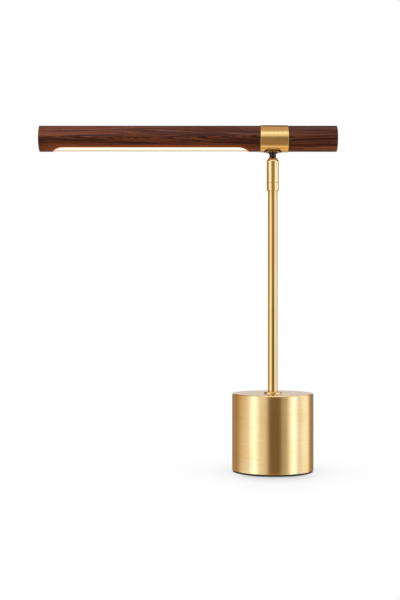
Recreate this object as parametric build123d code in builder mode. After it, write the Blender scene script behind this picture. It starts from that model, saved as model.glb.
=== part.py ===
from build123d import *
import math
import os

os.makedirs("parts", exist_ok=True)

# Desk lamp: a level wooden tube with a light slot, on a brass stem and a weighted brass drum.
# Millimetres. The origin is on the table under the stem, +Z is up, -Y is the front,
# and the long arm of the tube points to -X.

# Clearances
slip_gap = 0.1          # between pieces that slide together and are then clamped
thread_gap = 0.05       # radial gap that stands for a screw thread
running_gap = 0.05      # radial gap where a piece turns on another
ball_gap = 0.08         # between the ball and its two seats
face_gap = 0.1          # between flat faces that turn past each other

# Drum base
pad_thickness = 2.4
pad_inset = 1.0
drum_diameter = 119.0
drum_height = 110.9
drum_wall = 1.6
drum_top_thickness = 3.0
drum_top_radius = 1.0
drum_rim_chamfer = 0.5
plate_thickness = 2.0

# Cast weight
weight_thickness = 40.0
weight_gap = 0.5
boss_radius = 14.0
recess_radius = 20.0
recess_depth = 20.5
channel_width = 14.0
channel_depth = 14.0
notch_width = 16.0
notch_depth = 16.0

# Screws under the base
plate_screw_radius = 2.0
plate_screw_head_radius = 4.0
plate_screw_length = 16.0
plate_screw_wall_step = 17.9
plate_screw_count = 3
plate_screw_start = 30.0
socket_radius = 1.4
socket_depth = 1.3

# Cord bush at the back
bush_height = 16.9
bush_bore_radius = 3.1
bush_neck_radius = 4.9
bush_lip_radius = 5.8
bush_lip_thickness = 2.2
bush_lip_gap = 0.4      # the drum's round wall leaves this gap in front of the flat lip
bush_flange_radius = 7.0
bush_flange_thickness = 2.2
bush_edge = 0.8

# Light driver and touch dimmer inside the drum
driver_width = 30.0
driver_length = 60.0
driver_height = 22.0
driver_wall_step = 24.9
driver_corner = 2.0
ear_length = 8.0
ear_width = 12.0
ear_thickness = 3.0
driver_screw_radius = 1.5
driver_screw_head_radius = 2.8
driver_screw_head_height = 2.2
driver_screw_depth = 9.0
board_width = 24.0
board_length = 44.0
board_thickness = 1.6
board_wall_step = 25.9
post_radius = 2.5
post_height = 8.0
post_pin_radius = 1.4
post_pin_depth = 6.0
post_pin_rise = 1.2
post_spacing = 36.0
contact_width = 5.0
contact_thickness = 0.5

# Tie tube that clamps the base and carries the stem
tie_radius = 5.0
tie_bore_radius = 3.5
tie_grip = 15.0
tie_tail = 2.0
washer_radius = 9.5
washer_thickness = 1.5
washer_teeth = 10
nut_across_flats = 17.0
nut_height = 5.5

# Stem
stem_diameter = 14.6
stem_length = 297.1
stem_edge = 0.3
foot_ring_diameter = 25.8
foot_ring_height = 2.2
foot_ring_edge = 0.9

# Swivel
swivel_diameter = 17.8
ring_height = 12.0
ring_chamfer = 0.8
seam_chamfer = 0.4
nipple_grip = 9.0
barrel_height = 36.3
shoulder_height = 4.3
shoulder_round = 1.0
rim_radius = 5.8
spigot_radius = 7.2
spigot_height = 18.0
spigot_thread_height = 18.5
ball_radius = 6.2
mouth_depth = 2.95      # how far the ball's centre lies below the barrel's mouth
barrel_bore_radius = 6.4
cup_drop = 3.4
cup_height = 8.0
cup_bore_radius = 3.0
spring_count = 4
spring_outer_radius = 6.0
spring_inner_radius = 3.2
spring_thickness = 0.6
neck_radius = 4.65
neck_length = 8.4       # from the barrel's mouth to the underside of the saddle flange
neck_flare_radius = 7.5
neck_flare_height = 4.6
neck_flare_lip = 0.4
stud_radius = 4.0
stud_bore_radius = 1.7
stud_bell_radius = 3.4
stud_tail = 0.7

# Saddle bush that holds the head on the stud
flange_radius = 14.0
flange_thickness = 2.1
flange_chamfer = 0.25
flange_bevel = 1.2      # on its upper side
saddle_shank_radius = 8.0
saddle_shank_height = 7.3
spot_depth = 1.4        # how deep the flat for the flange is cut into the wood
spot_gap = 0.2
turn_washer_radius = 7.0
turn_washer_thickness = 0.8
stud_nut_across_flats = 13.0
stud_nut_height = 4.0

# Wooden tube
rod_diameter = 38.0
rod_length = 435.5
rod_short_arm = 93.9    # from the stem's axis to the near end
rod_edge_radius = 1.2
collar_wall = 0.8
collar_gap = 0.05
collar_length = 41.5
collar_offset = 2.3
collar_chamfer = 0.3

# Light slot, heights measured from the tube's axis
slot_end_wall = 19.4   # solid wood between the slot and the tube's far end
slot_width = 26.8
slot_nose = 16.5        # length of each rounded end of the slot
slot_to_collar = 16.3
ledge_drop = 9.0
ledge_width = 2.2
pocket_rise = 6.0
lens_gap = 0.2
lens_recess = 1.15
lens_wall = 2.0
bar_end_gap = 11.0      # from the slot's ends to the channel's ends
channel_bar_width = 16.0
channel_bar_height = 3.4
channel_bar_wall = 1.2
strip_end_gap = 8.0     # from the channel's ends to the strip's ends
strip_width = 12.0
strip_thickness = 1.2
chip_count = 24
chip_inset = 5.9        # from the strip's end to the middle of its last chip
chip_size = 3.0
chip_height = 0.8
bar_screw_radius = 1.4
bar_screw_head_radius = 2.4
bar_screw_depth = 8.0
bar_screw_inset = 4.0
bar_screw_side_step = 4.0

# Leads
lead_radius = 1.2
lead_bend = 9.0
lead_floor_gap = 2.0
lead_wall_step = 8.9
driver_lead_step = 8.0
driver_lead_rise = 15.5
head_lead_bend = 7.2
head_lead_rise = 3.5
lead_joint_gap = 0.4
wire_bore_radius = 2.1

# Levels, from the table up
rod_radius = rod_diameter / 2
drum_radius = drum_diameter / 2
cavity_radius = drum_radius - drum_wall
swivel_radius = swivel_diameter / 2
stem_radius = stem_diameter / 2
plate_screw_circle = cavity_radius - plate_screw_wall_step
driver_offset = cavity_radius - driver_wall_step
driver_lead_place = driver_offset - driver_lead_step
board_offset = cavity_radius - board_wall_step
lead_notch_place = cavity_radius - lead_wall_step
plate_top = pad_thickness + plate_thickness
weight_top = plate_top + weight_thickness
base_top = pad_thickness + drum_height
cavity_top = base_top - drum_top_thickness
recess_top = plate_top + recess_depth
washer_bottom = recess_top - washer_thickness
nut_bottom = washer_bottom - nut_height
stem_top = base_top + stem_length
ring_top = stem_top + ring_height
barrel_top = ring_top + barrel_height
ball_level = barrel_top - mouth_depth
cup_top = ball_level - cup_drop
spring_bottom = ring_top + spigot_height
cup_bottom = cup_top - cup_height
seat_level = barrel_top + neck_length
spot_level = seat_level + flange_thickness
saddle_top = spot_level + saddle_shank_height
turn_washer_bottom = saddle_top + face_gap / 2
stud_nut_bottom = turn_washer_bottom + turn_washer_thickness
stud_top = stud_nut_bottom + stud_nut_height + stud_tail
rod_level = spot_level + rod_radius - spot_depth
rod_left = rod_short_arm - rod_length
slot_right = collar_offset - collar_length / 2 - slot_to_collar
slot_length = slot_right - rod_left - slot_end_wall
slot_middle = slot_right - slot_length / 2
channel_bar_length = slot_length - 2 * bar_end_gap
strip_length = channel_bar_length - 2 * strip_end_gap
pocket_top = rod_level + pocket_rise
bar_middle = slot_middle
bar_right = bar_middle + channel_bar_length / 2
strip_right = bar_middle + strip_length / 2
chip_pitch = (strip_length - 2 * chip_inset) / (chip_count - 1)
web_bottom = pocket_top - channel_bar_wall
strip_bottom = web_bottom - strip_thickness


def revolve_profile(points):
    """Turn a closed outline of radius and height points about the stem's axis."""
    with BuildSketch(Plane.XZ) as outline:
        with BuildLine():
            Polyline(*points, close=True)
        make_face()
    revolve(outline.sketch, axis=Axis.Z)


def ring_points(inner, outer, low, high):
    """Outline of a plain ring."""
    return [(inner, low), (outer, low), (outer, high), (inner, high)]


def finish(piece, name):
    """Name a piece and write it."""
    piece.part.label = name
    export_step(piece.part, f"parts/{name}.step")


# Drum base

with BuildPart() as foot_pad:
    with BuildSketch():
        Circle(drum_radius - pad_inset)
    extrude(amount=pad_thickness)
finish(foot_pad, "foot_pad")

with BuildPart() as base_shell:
    with BuildSketch(Plane.XY.offset(pad_thickness)):
        Circle(drum_radius)
    extrude(amount=drum_height)
    fillet(base_shell.faces().sort_by(Axis.Z)[-1].edges(), drum_top_radius)
    chamfer(base_shell.faces().sort_by(Axis.Z)[0].edges(), drum_rim_chamfer)
    with BuildSketch(Plane.XY.offset(pad_thickness)):
        Circle(cavity_radius)
    extrude(amount=drum_height - drum_top_thickness, mode=Mode.SUBTRACT)
    with BuildSketch(Plane.XY.offset(cavity_top)):
        Circle(tie_radius + slip_gap)
    extrude(amount=drum_top_thickness, mode=Mode.SUBTRACT)
    with BuildSketch(Plane.XZ.offset(-cavity_radius + bush_lip_thickness)):
        with Locations((0, bush_height)):
            Circle(bush_neck_radius + slip_gap)
    extrude(amount=-drum_wall - 2 * bush_lip_thickness, mode=Mode.SUBTRACT)
finish(base_shell, "base_shell")

with BuildPart() as bottom_plate:
    with BuildSketch(Plane.XY.offset(pad_thickness)):
        Circle(cavity_radius - slip_gap)
    extrude(amount=plate_thickness)
    with BuildSketch(Plane.XY.offset(pad_thickness)):
        with PolarLocations(plate_screw_circle, plate_screw_count, start_angle=plate_screw_start):
            Circle(plate_screw_head_radius + slip_gap)
    extrude(amount=plate_thickness, taper=45, mode=Mode.SUBTRACT)
finish(bottom_plate, "bottom_plate")

with BuildPart() as bottom_screws:
    with BuildSketch(Plane.XY.offset(pad_thickness)):
        with PolarLocations(plate_screw_circle, plate_screw_count, start_angle=plate_screw_start):
            Circle(plate_screw_head_radius)
    extrude(amount=plate_screw_head_radius - plate_screw_radius, taper=45)
    with BuildSketch(Plane.XY.offset(pad_thickness)):
        with PolarLocations(plate_screw_circle, plate_screw_count, start_angle=plate_screw_start):
            Circle(plate_screw_radius)
    extrude(amount=plate_screw_length)
    with BuildSketch(Plane.XY.offset(pad_thickness)):
        with PolarLocations(plate_screw_circle, plate_screw_count, start_angle=plate_screw_start):
            RegularPolygon(socket_radius, 6)
    extrude(amount=socket_depth, mode=Mode.SUBTRACT)
finish(bottom_screws, "bottom_screws")

driver_ear_place = driver_length / 2 + ear_length / 2
with BuildPart() as base_weight:
    with BuildSketch(Plane.XY.offset(plate_top)):
        Circle(cavity_radius - weight_gap)
    extrude(amount=weight_thickness)
    with BuildSketch(Plane.XY.offset(weight_top)):
        Circle(boss_radius)
    extrude(amount=cavity_top - weight_top)
    with BuildSketch(Plane.XY.offset(plate_top)):
        Circle(recess_radius)
    extrude(amount=recess_depth, mode=Mode.SUBTRACT)
    with BuildSketch(Plane.XY.offset(plate_top)):
        with Locations((0, cavity_radius / 2)):
            Rectangle(channel_width, cavity_radius)
    extrude(amount=channel_depth, mode=Mode.SUBTRACT)
    with BuildSketch(Plane.XY.offset(plate_top)):
        with Locations((0, cavity_radius)):
            Rectangle(notch_width, 2 * notch_depth)
    extrude(amount=weight_thickness, mode=Mode.SUBTRACT)
    with BuildSketch(Plane.XY.offset(plate_top)):
        Circle(tie_radius + slip_gap)
    extrude(amount=cavity_top - plate_top, mode=Mode.SUBTRACT)
    with BuildSketch(Plane.XY.offset(plate_top)):
        with PolarLocations(plate_screw_circle, plate_screw_count, start_angle=plate_screw_start):
            Circle(plate_screw_radius + thread_gap)
    extrude(amount=plate_screw_length, mode=Mode.SUBTRACT)
    with BuildSketch(Plane.XY.offset(weight_top)):
        with Locations((-driver_offset, -driver_ear_place), (-driver_offset, driver_ear_place)):
            Circle(driver_screw_radius + thread_gap)
    extrude(amount=-driver_screw_depth, mode=Mode.SUBTRACT)
    with BuildSketch(Plane.XY.offset(weight_top)):
        with Locations((board_offset, -post_spacing / 2), (board_offset, post_spacing / 2)):
            Circle(post_pin_radius + thread_gap)
    extrude(amount=-post_pin_depth, mode=Mode.SUBTRACT)
finish(base_weight, "base_weight")

with BuildPart() as cord_bush:
    with BuildSketch(Plane.XZ.offset(-drum_radius)):
        with Locations((0, bush_height)):
            Circle(bush_flange_radius)
    extrude(amount=-bush_flange_thickness)
    chamfer(cord_bush.faces().sort_by(Axis.Y)[-1].edges(), bush_edge)
    with BuildSketch(Plane.XZ.offset(-drum_radius)):
        with Locations((0, bush_height)):
            Circle(bush_neck_radius)
    extrude(amount=drum_wall + bush_lip_gap)
    with BuildSketch(Plane.XZ.offset(-cavity_radius + bush_lip_gap)):
        with Locations((0, bush_height)):
            Circle(bush_lip_radius)
    extrude(amount=bush_lip_thickness)
    with BuildSketch(Plane.XZ.offset(-drum_radius - bush_flange_thickness)):
        with Locations((0, bush_height)):
            Circle(bush_bore_radius)
    extrude(amount=bush_flange_thickness + drum_wall + 2 * bush_lip_thickness, mode=Mode.SUBTRACT)
finish(cord_bush, "cord_bush")

with BuildPart() as led_driver:
    with BuildSketch(Plane.XY.offset(weight_top)):
        with Locations((-driver_offset, 0)):
            RectangleRounded(driver_width, driver_length, driver_corner)
    extrude(amount=driver_height)
    with BuildSketch(Plane.XY.offset(weight_top)):
        with Locations((-driver_offset, 0)):
            Rectangle(ear_width, driver_length + 2 * ear_length)
    extrude(amount=ear_thickness)
    with BuildSketch(Plane.XY.offset(weight_top)):
        with Locations((-driver_offset, -driver_ear_place), (-driver_offset, driver_ear_place)):
            Circle(driver_screw_radius + slip_gap)
    extrude(amount=ear_thickness, mode=Mode.SUBTRACT)
finish(led_driver, "led_driver")

with BuildPart() as driver_screws:
    with BuildSketch(Plane.XY.offset(weight_top + ear_thickness)):
        with Locations((-driver_offset, -driver_ear_place), (-driver_offset, driver_ear_place)):
            Circle(driver_screw_head_radius)
    extrude(amount=driver_screw_head_height)
    with BuildSketch(Plane.XY.offset(weight_top + ear_thickness)):
        with Locations((-driver_offset, -driver_ear_place), (-driver_offset, driver_ear_place)):
            Circle(driver_screw_radius)
    extrude(amount=-driver_screw_depth)
finish(driver_screws, "driver_screws")

board_bottom = weight_top + post_height
board_top = board_bottom + board_thickness
with BuildPart() as board_posts:
    with BuildSketch(Plane.XY.offset(weight_top)):
        with Locations((board_offset, -post_spacing / 2), (board_offset, post_spacing / 2)):
            Circle(post_radius)
    extrude(amount=post_height)
    with BuildSketch(Plane.XY.offset(weight_top - post_pin_depth)):
        with Locations((board_offset, -post_spacing / 2), (board_offset, post_spacing / 2)):
            Circle(post_pin_radius)
    extrude(amount=post_pin_depth + post_height + board_thickness + post_pin_rise)
finish(board_posts, "board_posts")

with BuildPart() as dimmer_board:
    with BuildSketch(Plane.XY.offset(board_bottom)):
        with Locations((board_offset, 0)):
            Rectangle(board_width, board_length)
        with Locations((board_offset, -post_spacing / 2), (board_offset, post_spacing / 2)):
            Circle(post_pin_radius + thread_gap, mode=Mode.SUBTRACT)
    extrude(amount=board_thickness)
    # capacitor, choke and controller
    with BuildSketch(Plane.XY.offset(board_top)):
        with Locations((board_offset - board_width / 4, board_length / 5)):
            Circle(board_width / 6)
    extrude(amount=3 * post_radius)
    with BuildSketch(Plane.XY.offset(board_top)):
        with Locations((board_offset - board_width / 4, -board_length / 5)):
            Rectangle(board_width / 3, board_width / 3)
    extrude(amount=2 * post_radius)
    with BuildSketch(Plane.XY.offset(board_top)):
        with Locations((board_offset + board_width / 4, board_length / 5)):
            Rectangle(board_width / 4, board_width / 3)
    extrude(amount=board_thickness)
finish(dimmer_board, "dimmer_board")

# The contact finger springs from the board out to the drum's wall.
contact_foot = board_offset + board_width / 8
contact_bend = board_offset + board_width / 2
contact_reach = cavity_radius - 2 * slip_gap
contact_rise = board_top + contact_reach - contact_bend
with BuildPart() as contact_spring:
    with BuildSketch(Plane.XZ.offset(-contact_width / 2)):
        with BuildLine():
            Polyline(
                (contact_foot, board_top),
                (contact_bend, board_top),
                (contact_reach, contact_rise),
                (contact_reach - 2 * contact_thickness, contact_rise + 4 * contact_thickness),
                (contact_reach - 3 * contact_thickness, contact_rise + 4 * contact_thickness),
                (contact_reach - math.sqrt(2) * contact_thickness, contact_rise),
                (contact_bend - contact_thickness / 2, board_top + contact_thickness),
                (contact_foot, board_top + contact_thickness),
                close=True,
            )
        make_face()
    extrude(amount=contact_width)
finish(contact_spring, "contact_spring")

# Tie tube, washer and nut

with BuildPart() as tie_tube:
    revolve_profile(ring_points(tie_bore_radius, tie_radius, nut_bottom - tie_tail, base_top + tie_grip))
finish(tie_tube, "tie_tube")

with BuildPart() as lock_washer:
    revolve_profile(ring_points(tie_radius + slip_gap, washer_radius, washer_bottom, recess_top))
    with BuildSketch(Plane.XY.offset(washer_bottom)):
        with PolarLocations(washer_radius, washer_teeth):
            Rectangle(washer_thickness * 2, washer_thickness)
    extrude(amount=washer_thickness, mode=Mode.SUBTRACT)
finish(lock_washer, "lock_washer")

with BuildPart() as tie_nut:
    with BuildSketch(Plane.XY.offset(nut_bottom)):
        RegularPolygon(nut_across_flats / 2, 6, major_radius=False)
        Circle(tie_radius + thread_gap, mode=Mode.SUBTRACT)
    extrude(amount=nut_height)
finish(tie_nut, "tie_nut")

# Stem

with BuildPart() as foot_ring:
    with BuildSketch(Plane.XY.offset(base_top)):
        Circle(foot_ring_diameter / 2)
    extrude(amount=foot_ring_height)
    chamfer(foot_ring.faces().sort_by(Axis.Z)[-1].edges(), foot_ring_edge)
    with BuildSketch(Plane.XY.offset(base_top)):
        Circle(stem_radius + slip_gap)
    extrude(amount=foot_ring_height, mode=Mode.SUBTRACT)
finish(foot_ring, "foot_ring")

with BuildPart() as stem_tube:
    with BuildSketch(Plane.XY.offset(base_top)):
        Circle(stem_radius)
    extrude(amount=stem_length)
    chamfer(stem_tube.faces().sort_by(Axis.Z)[-1].edges(), stem_edge)
    with BuildSketch(Plane.XY.offset(base_top)):
        Circle(tie_radius + thread_gap)
    extrude(amount=stem_length, mode=Mode.SUBTRACT)
finish(stem_tube, "stem_tube")

with BuildPart() as top_nipple:
    revolve_profile(
        ring_points(tie_bore_radius, tie_radius, stem_top - tie_grip, stem_top + nipple_grip)
    )
finish(top_nipple, "top_nipple")

# Swivel barrel on its threaded ring, with the ball caught under the barrel's mouth

with BuildPart() as swivel_ring:
    revolve_profile(
        [
            (tie_radius + thread_gap, stem_top),
            (swivel_radius - ring_chamfer, stem_top),
            (swivel_radius, stem_top + ring_chamfer),
            (swivel_radius, ring_top - seam_chamfer),
            (swivel_radius - seam_chamfer, ring_top),
            (spigot_radius, ring_top),
            (spigot_radius, spring_bottom),
            (tie_bore_radius, spring_bottom),
            (tie_bore_radius, stem_top + nipple_grip),
            (tie_radius + thread_gap, stem_top + nipple_grip),
        ]
    )
finish(swivel_ring, "swivel_ring")

seat_radius = ball_radius + ball_gap
mouth_radius = math.sqrt(seat_radius**2 - mouth_depth**2)
seat_middle = math.atan2(mouth_depth, mouth_radius) / 2
with BuildPart() as swivel_barrel:
    with BuildSketch(Plane.XZ):
        with BuildLine():
            Polyline(
                (mouth_radius, barrel_top),
                (rim_radius, barrel_top),
                (swivel_radius, barrel_top - shoulder_height),
                (swivel_radius, ring_top + seam_chamfer),
                (swivel_radius - seam_chamfer, ring_top),
                (spigot_radius + thread_gap, ring_top),
                (spigot_radius + thread_gap, ring_top + spigot_thread_height),
                (barrel_bore_radius, ring_top + spigot_thread_height),
                (barrel_bore_radius, ball_level),
                (seat_radius, ball_level),
            )
            ThreePointArc(
                (seat_radius, ball_level),
                (seat_radius * math.cos(seat_middle), ball_level + seat_radius * math.sin(seat_middle)),
                (mouth_radius, barrel_top),
            )
        make_face()
    revolve(axis=Axis.Z)
    shoulder_edge = swivel_barrel.edges().filter_by(GeomType.CIRCLE).filter_by(
        lambda edge: abs(edge.radius - swivel_radius) < slip_gap
    ).sort_by(Axis.Z)[-1]
    fillet(shoulder_edge, shoulder_round)
finish(swivel_barrel, "swivel_barrel")

spring_cone = (cup_bottom - spring_bottom - face_gap) / spring_count - spring_thickness
with BuildPart() as disc_springs:
    for index in range(spring_count):
        low = spring_bottom + index * (spring_thickness + spring_cone)
        inner_low = low + spring_cone if index % 2 == 0 else low
        outer_low = low if index % 2 == 0 else low + spring_cone
        revolve_profile(
            [
                (spring_inner_radius, inner_low),
                (spring_outer_radius, outer_low),
                (spring_outer_radius, outer_low + spring_thickness),
                (spring_inner_radius, inner_low + spring_thickness),
            ]
        )
finish(disc_springs, "disc_springs")

cup_rim_radius = math.sqrt(seat_radius**2 - cup_drop**2)
cup_floor = ball_level - math.sqrt(seat_radius**2 - cup_bore_radius**2)
cup_middle = (math.asin(cup_bore_radius / seat_radius) + math.asin(cup_rim_radius / seat_radius)) / 2
with BuildPart() as friction_cup:
    with BuildSketch(Plane.XZ):
        with BuildLine():
            Polyline(
                (cup_rim_radius, cup_top),
                (barrel_bore_radius - slip_gap, cup_top),
                (barrel_bore_radius - slip_gap, cup_bottom),
                (cup_bore_radius, cup_bottom),
                (cup_bore_radius, cup_floor),
            )
            ThreePointArc(
                (cup_bore_radius, cup_floor),
                (seat_radius * math.sin(cup_middle), ball_level - seat_radius * math.cos(cup_middle)),
                (cup_rim_radius, cup_top),
            )
        make_face()
    revolve(axis=Axis.Z)
finish(friction_cup, "friction_cup")

neck_join = math.sqrt(ball_radius**2 - neck_radius**2)
bell_drop = math.sqrt(ball_radius**2 - stud_bell_radius**2)
flare_top = seat_level - face_gap
with BuildPart() as ball_stud:
    with BuildSketch(Plane.XZ):
        with BuildLine():
            ThreePointArc(
                (stud_bell_radius, ball_level - bell_drop),
                (ball_radius, ball_level),
                (neck_radius, ball_level + neck_join),
            )
            Line((neck_radius, ball_level + neck_join), (neck_radius, flare_top - neck_flare_height))
            ThreePointArc(
                (neck_radius, flare_top - neck_flare_height),
                (
                    neck_radius + 0.3 * (neck_flare_radius - neck_radius),
                    flare_top - 0.55 * neck_flare_height,
                ),
                (neck_flare_radius, flare_top - neck_flare_lip),
            )
            Polyline(
                (neck_flare_radius, flare_top - neck_flare_lip),
                (neck_flare_radius, flare_top),
                (stud_radius, flare_top),
                (stud_radius, stud_top),
                (stud_bore_radius, stud_top),
                (stud_bore_radius, ball_level),
                (stud_bell_radius, ball_level - bell_drop),
            )
        make_face()
    revolve(axis=Axis.Z)
finish(ball_stud, "ball_stud")

with BuildPart() as turn_washer:
    revolve_profile(
        ring_points(
            stud_radius + slip_gap,
            turn_washer_radius,
            turn_washer_bottom,
            turn_washer_bottom + turn_washer_thickness,
        )
    )
finish(turn_washer, "turn_washer")

with BuildPart() as stud_nut:
    with BuildSketch(Plane.XY.offset(stud_nut_bottom)):
        RegularPolygon(stud_nut_across_flats / 2, 6, major_radius=False)
        Circle(stud_radius + thread_gap, mode=Mode.SUBTRACT)
    extrude(amount=stud_nut_height)
finish(stud_nut, "stud_nut")

# Head: saddle bush, collar, wooden tube and light

with BuildPart() as saddle_bush:
    revolve_profile(
        [
            (stud_radius + running_gap, seat_level),
            (flange_radius - flange_chamfer, seat_level),
            (flange_radius, seat_level + flange_chamfer),
            (flange_radius, spot_level - flange_bevel),
            (flange_radius - flange_bevel, spot_level),
            (saddle_shank_radius, spot_level),
            (saddle_shank_radius, saddle_top),
            (stud_radius + running_gap, saddle_top),
        ]
    )
finish(saddle_bush, "saddle_bush")


def cut_saddle_hole():
    """Cut the flat for the flange and the hole for the bush, from below."""
    with BuildSketch(Plane.XY.offset(spot_level)) as flat:
        Circle(flange_radius + spot_gap)
    extrude(flat.sketch, amount=-2 * flange_thickness, mode=Mode.SUBTRACT)
    with BuildSketch(Plane.XY.offset(pocket_top)) as hole:
        Circle(saddle_shank_radius + slip_gap)
    extrude(hole.sketch, amount=seat_level - pocket_top, mode=Mode.SUBTRACT)


collar_radius = rod_radius + collar_gap + collar_wall
collar_left = collar_offset - collar_length / 2
with BuildPart() as head_collar:
    with BuildSketch(Plane.YZ.offset(collar_left)):
        with Locations((0, rod_level)):
            Circle(collar_radius)
    extrude(amount=collar_length)
    chamfer(head_collar.edges().filter_by(GeomType.CIRCLE), collar_chamfer)
    with BuildSketch(Plane.YZ.offset(collar_left)):
        with Locations((0, rod_level)):
            Circle(rod_radius + collar_gap)
    extrude(amount=collar_length, mode=Mode.SUBTRACT)
    cut_saddle_hole()
finish(head_collar, "head_collar")

def draw_slot(inset):
    """Draw the light slot, or its outline moved inwards, with elliptical ends."""
    with Locations((slot_middle, 0)):
        Rectangle(slot_length - 2 * slot_nose, slot_width - 2 * inset)
    nose_step = slot_length / 2 - slot_nose
    with Locations((slot_middle - nose_step, 0), (slot_middle + nose_step, 0)):
        Ellipse(slot_nose - inset, slot_width / 2 - inset)


bar_screws = [
    (bar_middle - channel_bar_length / 2 + bar_screw_inset, 0),
    (bar_right - bar_screw_inset, bar_screw_side_step),
]
with BuildPart() as wood_rod:
    with BuildSketch(Plane.YZ.offset(rod_left)):
        with Locations((0, rod_level)):
            Circle(rod_radius)
    extrude(amount=rod_length)
    fillet(wood_rod.edges().filter_by(GeomType.CIRCLE), rod_edge_radius)
    with BuildSketch(Plane.XY.offset(rod_level - rod_diameter)):
        draw_slot(0)
    extrude(amount=rod_diameter - ledge_drop, mode=Mode.SUBTRACT)
    with BuildSketch(Plane.XY.offset(rod_level - ledge_drop)):
        draw_slot(ledge_width)
    extrude(amount=ledge_drop + pocket_rise, mode=Mode.SUBTRACT)
    with BuildSketch(Plane.YZ.offset(slot_right - slot_width / 2)):
        with Locations((0, rod_level + head_lead_rise)):
            Circle(wire_bore_radius)
    extrude(amount=-slot_right + slot_width / 2, mode=Mode.SUBTRACT)
    with BuildSketch(Plane.XY.offset(pocket_top)):
        with Locations(*bar_screws):
            Circle(bar_screw_radius + thread_gap)
    extrude(amount=bar_screw_depth, mode=Mode.SUBTRACT)
    cut_saddle_hole()
finish(wood_rod, "wood_rod")

with BuildPart() as led_channel:
    with BuildSketch(Plane.YZ.offset(bar_right - channel_bar_length)):
        with Locations((0, pocket_top - channel_bar_height / 2)):
            Rectangle(channel_bar_width, channel_bar_height)
        with Locations((0, pocket_top - channel_bar_height / 2 - channel_bar_wall)):
            Rectangle(channel_bar_width - 2 * channel_bar_wall, channel_bar_height, mode=Mode.SUBTRACT)
    extrude(amount=channel_bar_length)
    with BuildSketch(Plane.XY.offset(web_bottom)):
        with Locations(*bar_screws):
            Circle(bar_screw_head_radius + slip_gap)
    extrude(amount=channel_bar_wall, taper=30, mode=Mode.SUBTRACT)
finish(led_channel, "led_channel")

with BuildPart() as channel_screws:
    with BuildSketch(Plane.XY.offset(web_bottom)):
        with Locations(*bar_screws):
            Circle(bar_screw_head_radius)
    extrude(amount=channel_bar_wall, taper=30)
    with BuildSketch(Plane.XY.offset(web_bottom)):
        with Locations(*bar_screws):
            Circle(bar_screw_radius)
    extrude(amount=channel_bar_wall + bar_screw_depth)
finish(channel_screws, "channel_screws")

with BuildPart() as led_strip:
    with BuildSketch(Plane.XY.offset(strip_bottom)):
        with Locations((bar_middle, 0)):
            Rectangle(strip_length, strip_width)
    extrude(amount=strip_thickness)
finish(led_strip, "led_strip")

with BuildPart() as led_chips:
    with BuildSketch(Plane.XY.offset(strip_bottom)):
        with Locations((bar_middle, 0)):
            with GridLocations(chip_pitch, 1, chip_count, 1):
                Rectangle(chip_size, chip_size)
    extrude(amount=-chip_height)
finish(led_chips, "led_chips")

# The lens is a curved shell with a flat rim: it follows the tube's round underside, a little inside it.
lens_radius = rod_radius - lens_recess
with BuildPart() as lens_hollow:
    with BuildSketch(Plane.XY.offset(rod_level - rod_diameter)):
        draw_slot(lens_gap + lens_wall)
    extrude(amount=rod_diameter - ledge_drop)
    with BuildSketch(Plane.YZ.offset(rod_left)):
        with Locations((0, rod_level)):
            Circle(lens_radius - lens_wall)
    extrude(amount=rod_length, mode=Mode.INTERSECT)

with BuildPart() as lens:
    with BuildSketch(Plane.XY.offset(rod_level - rod_diameter)):
        draw_slot(lens_gap)
    extrude(amount=rod_diameter - ledge_drop)
    with BuildSketch(Plane.YZ.offset(rod_left)):
        with Locations((0, rod_level)):
            Circle(lens_radius)
    extrude(amount=rod_length, mode=Mode.INTERSECT)
    add(lens_hollow.part, mode=Mode.SUBTRACT)
finish(lens, "lens")

# Leads: from the driver under the weight, up the stem, through the ball, to the light strip

with BuildPart() as stem_lead:
    with BuildLine():
        FilletPolyline(
            (0, 0, ball_level - lead_joint_gap),
            (0, 0, plate_top + lead_floor_gap),
            (0, lead_notch_place, plate_top + lead_floor_gap),
            (0, lead_notch_place, weight_top + driver_lead_rise),
            (-driver_lead_place, lead_notch_place, weight_top + driver_lead_rise),
            (-driver_lead_place, driver_length / 2, weight_top + driver_lead_rise),
            radius=lead_bend,
        )
    with BuildSketch(Plane.XY.offset(ball_level - lead_joint_gap)):
        Circle(lead_radius)
    sweep()
finish(stem_lead, "stem_lead")

with BuildPart() as stud_lead:
    with BuildSketch(Plane.XY.offset(ball_level)):
        Circle(lead_radius)
    extrude(amount=stud_top - ball_level)
finish(stud_lead, "stud_lead")

with BuildPart() as head_lead:
    with BuildLine():
        FilletPolyline(
            (0, 0, stud_top),
            (0, 0, rod_level + head_lead_rise),
            (strip_right, 0, rod_level + head_lead_rise),
            radius=head_lead_bend,
        )
    with BuildSketch(Plane.XY.offset(stud_top)):
        Circle(lead_radius)
    sweep()
finish(head_lead, "head_lead")
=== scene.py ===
import logging
import math
from dataclasses import dataclass, field
from enum import Enum
from typing import Any, Sequence

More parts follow.
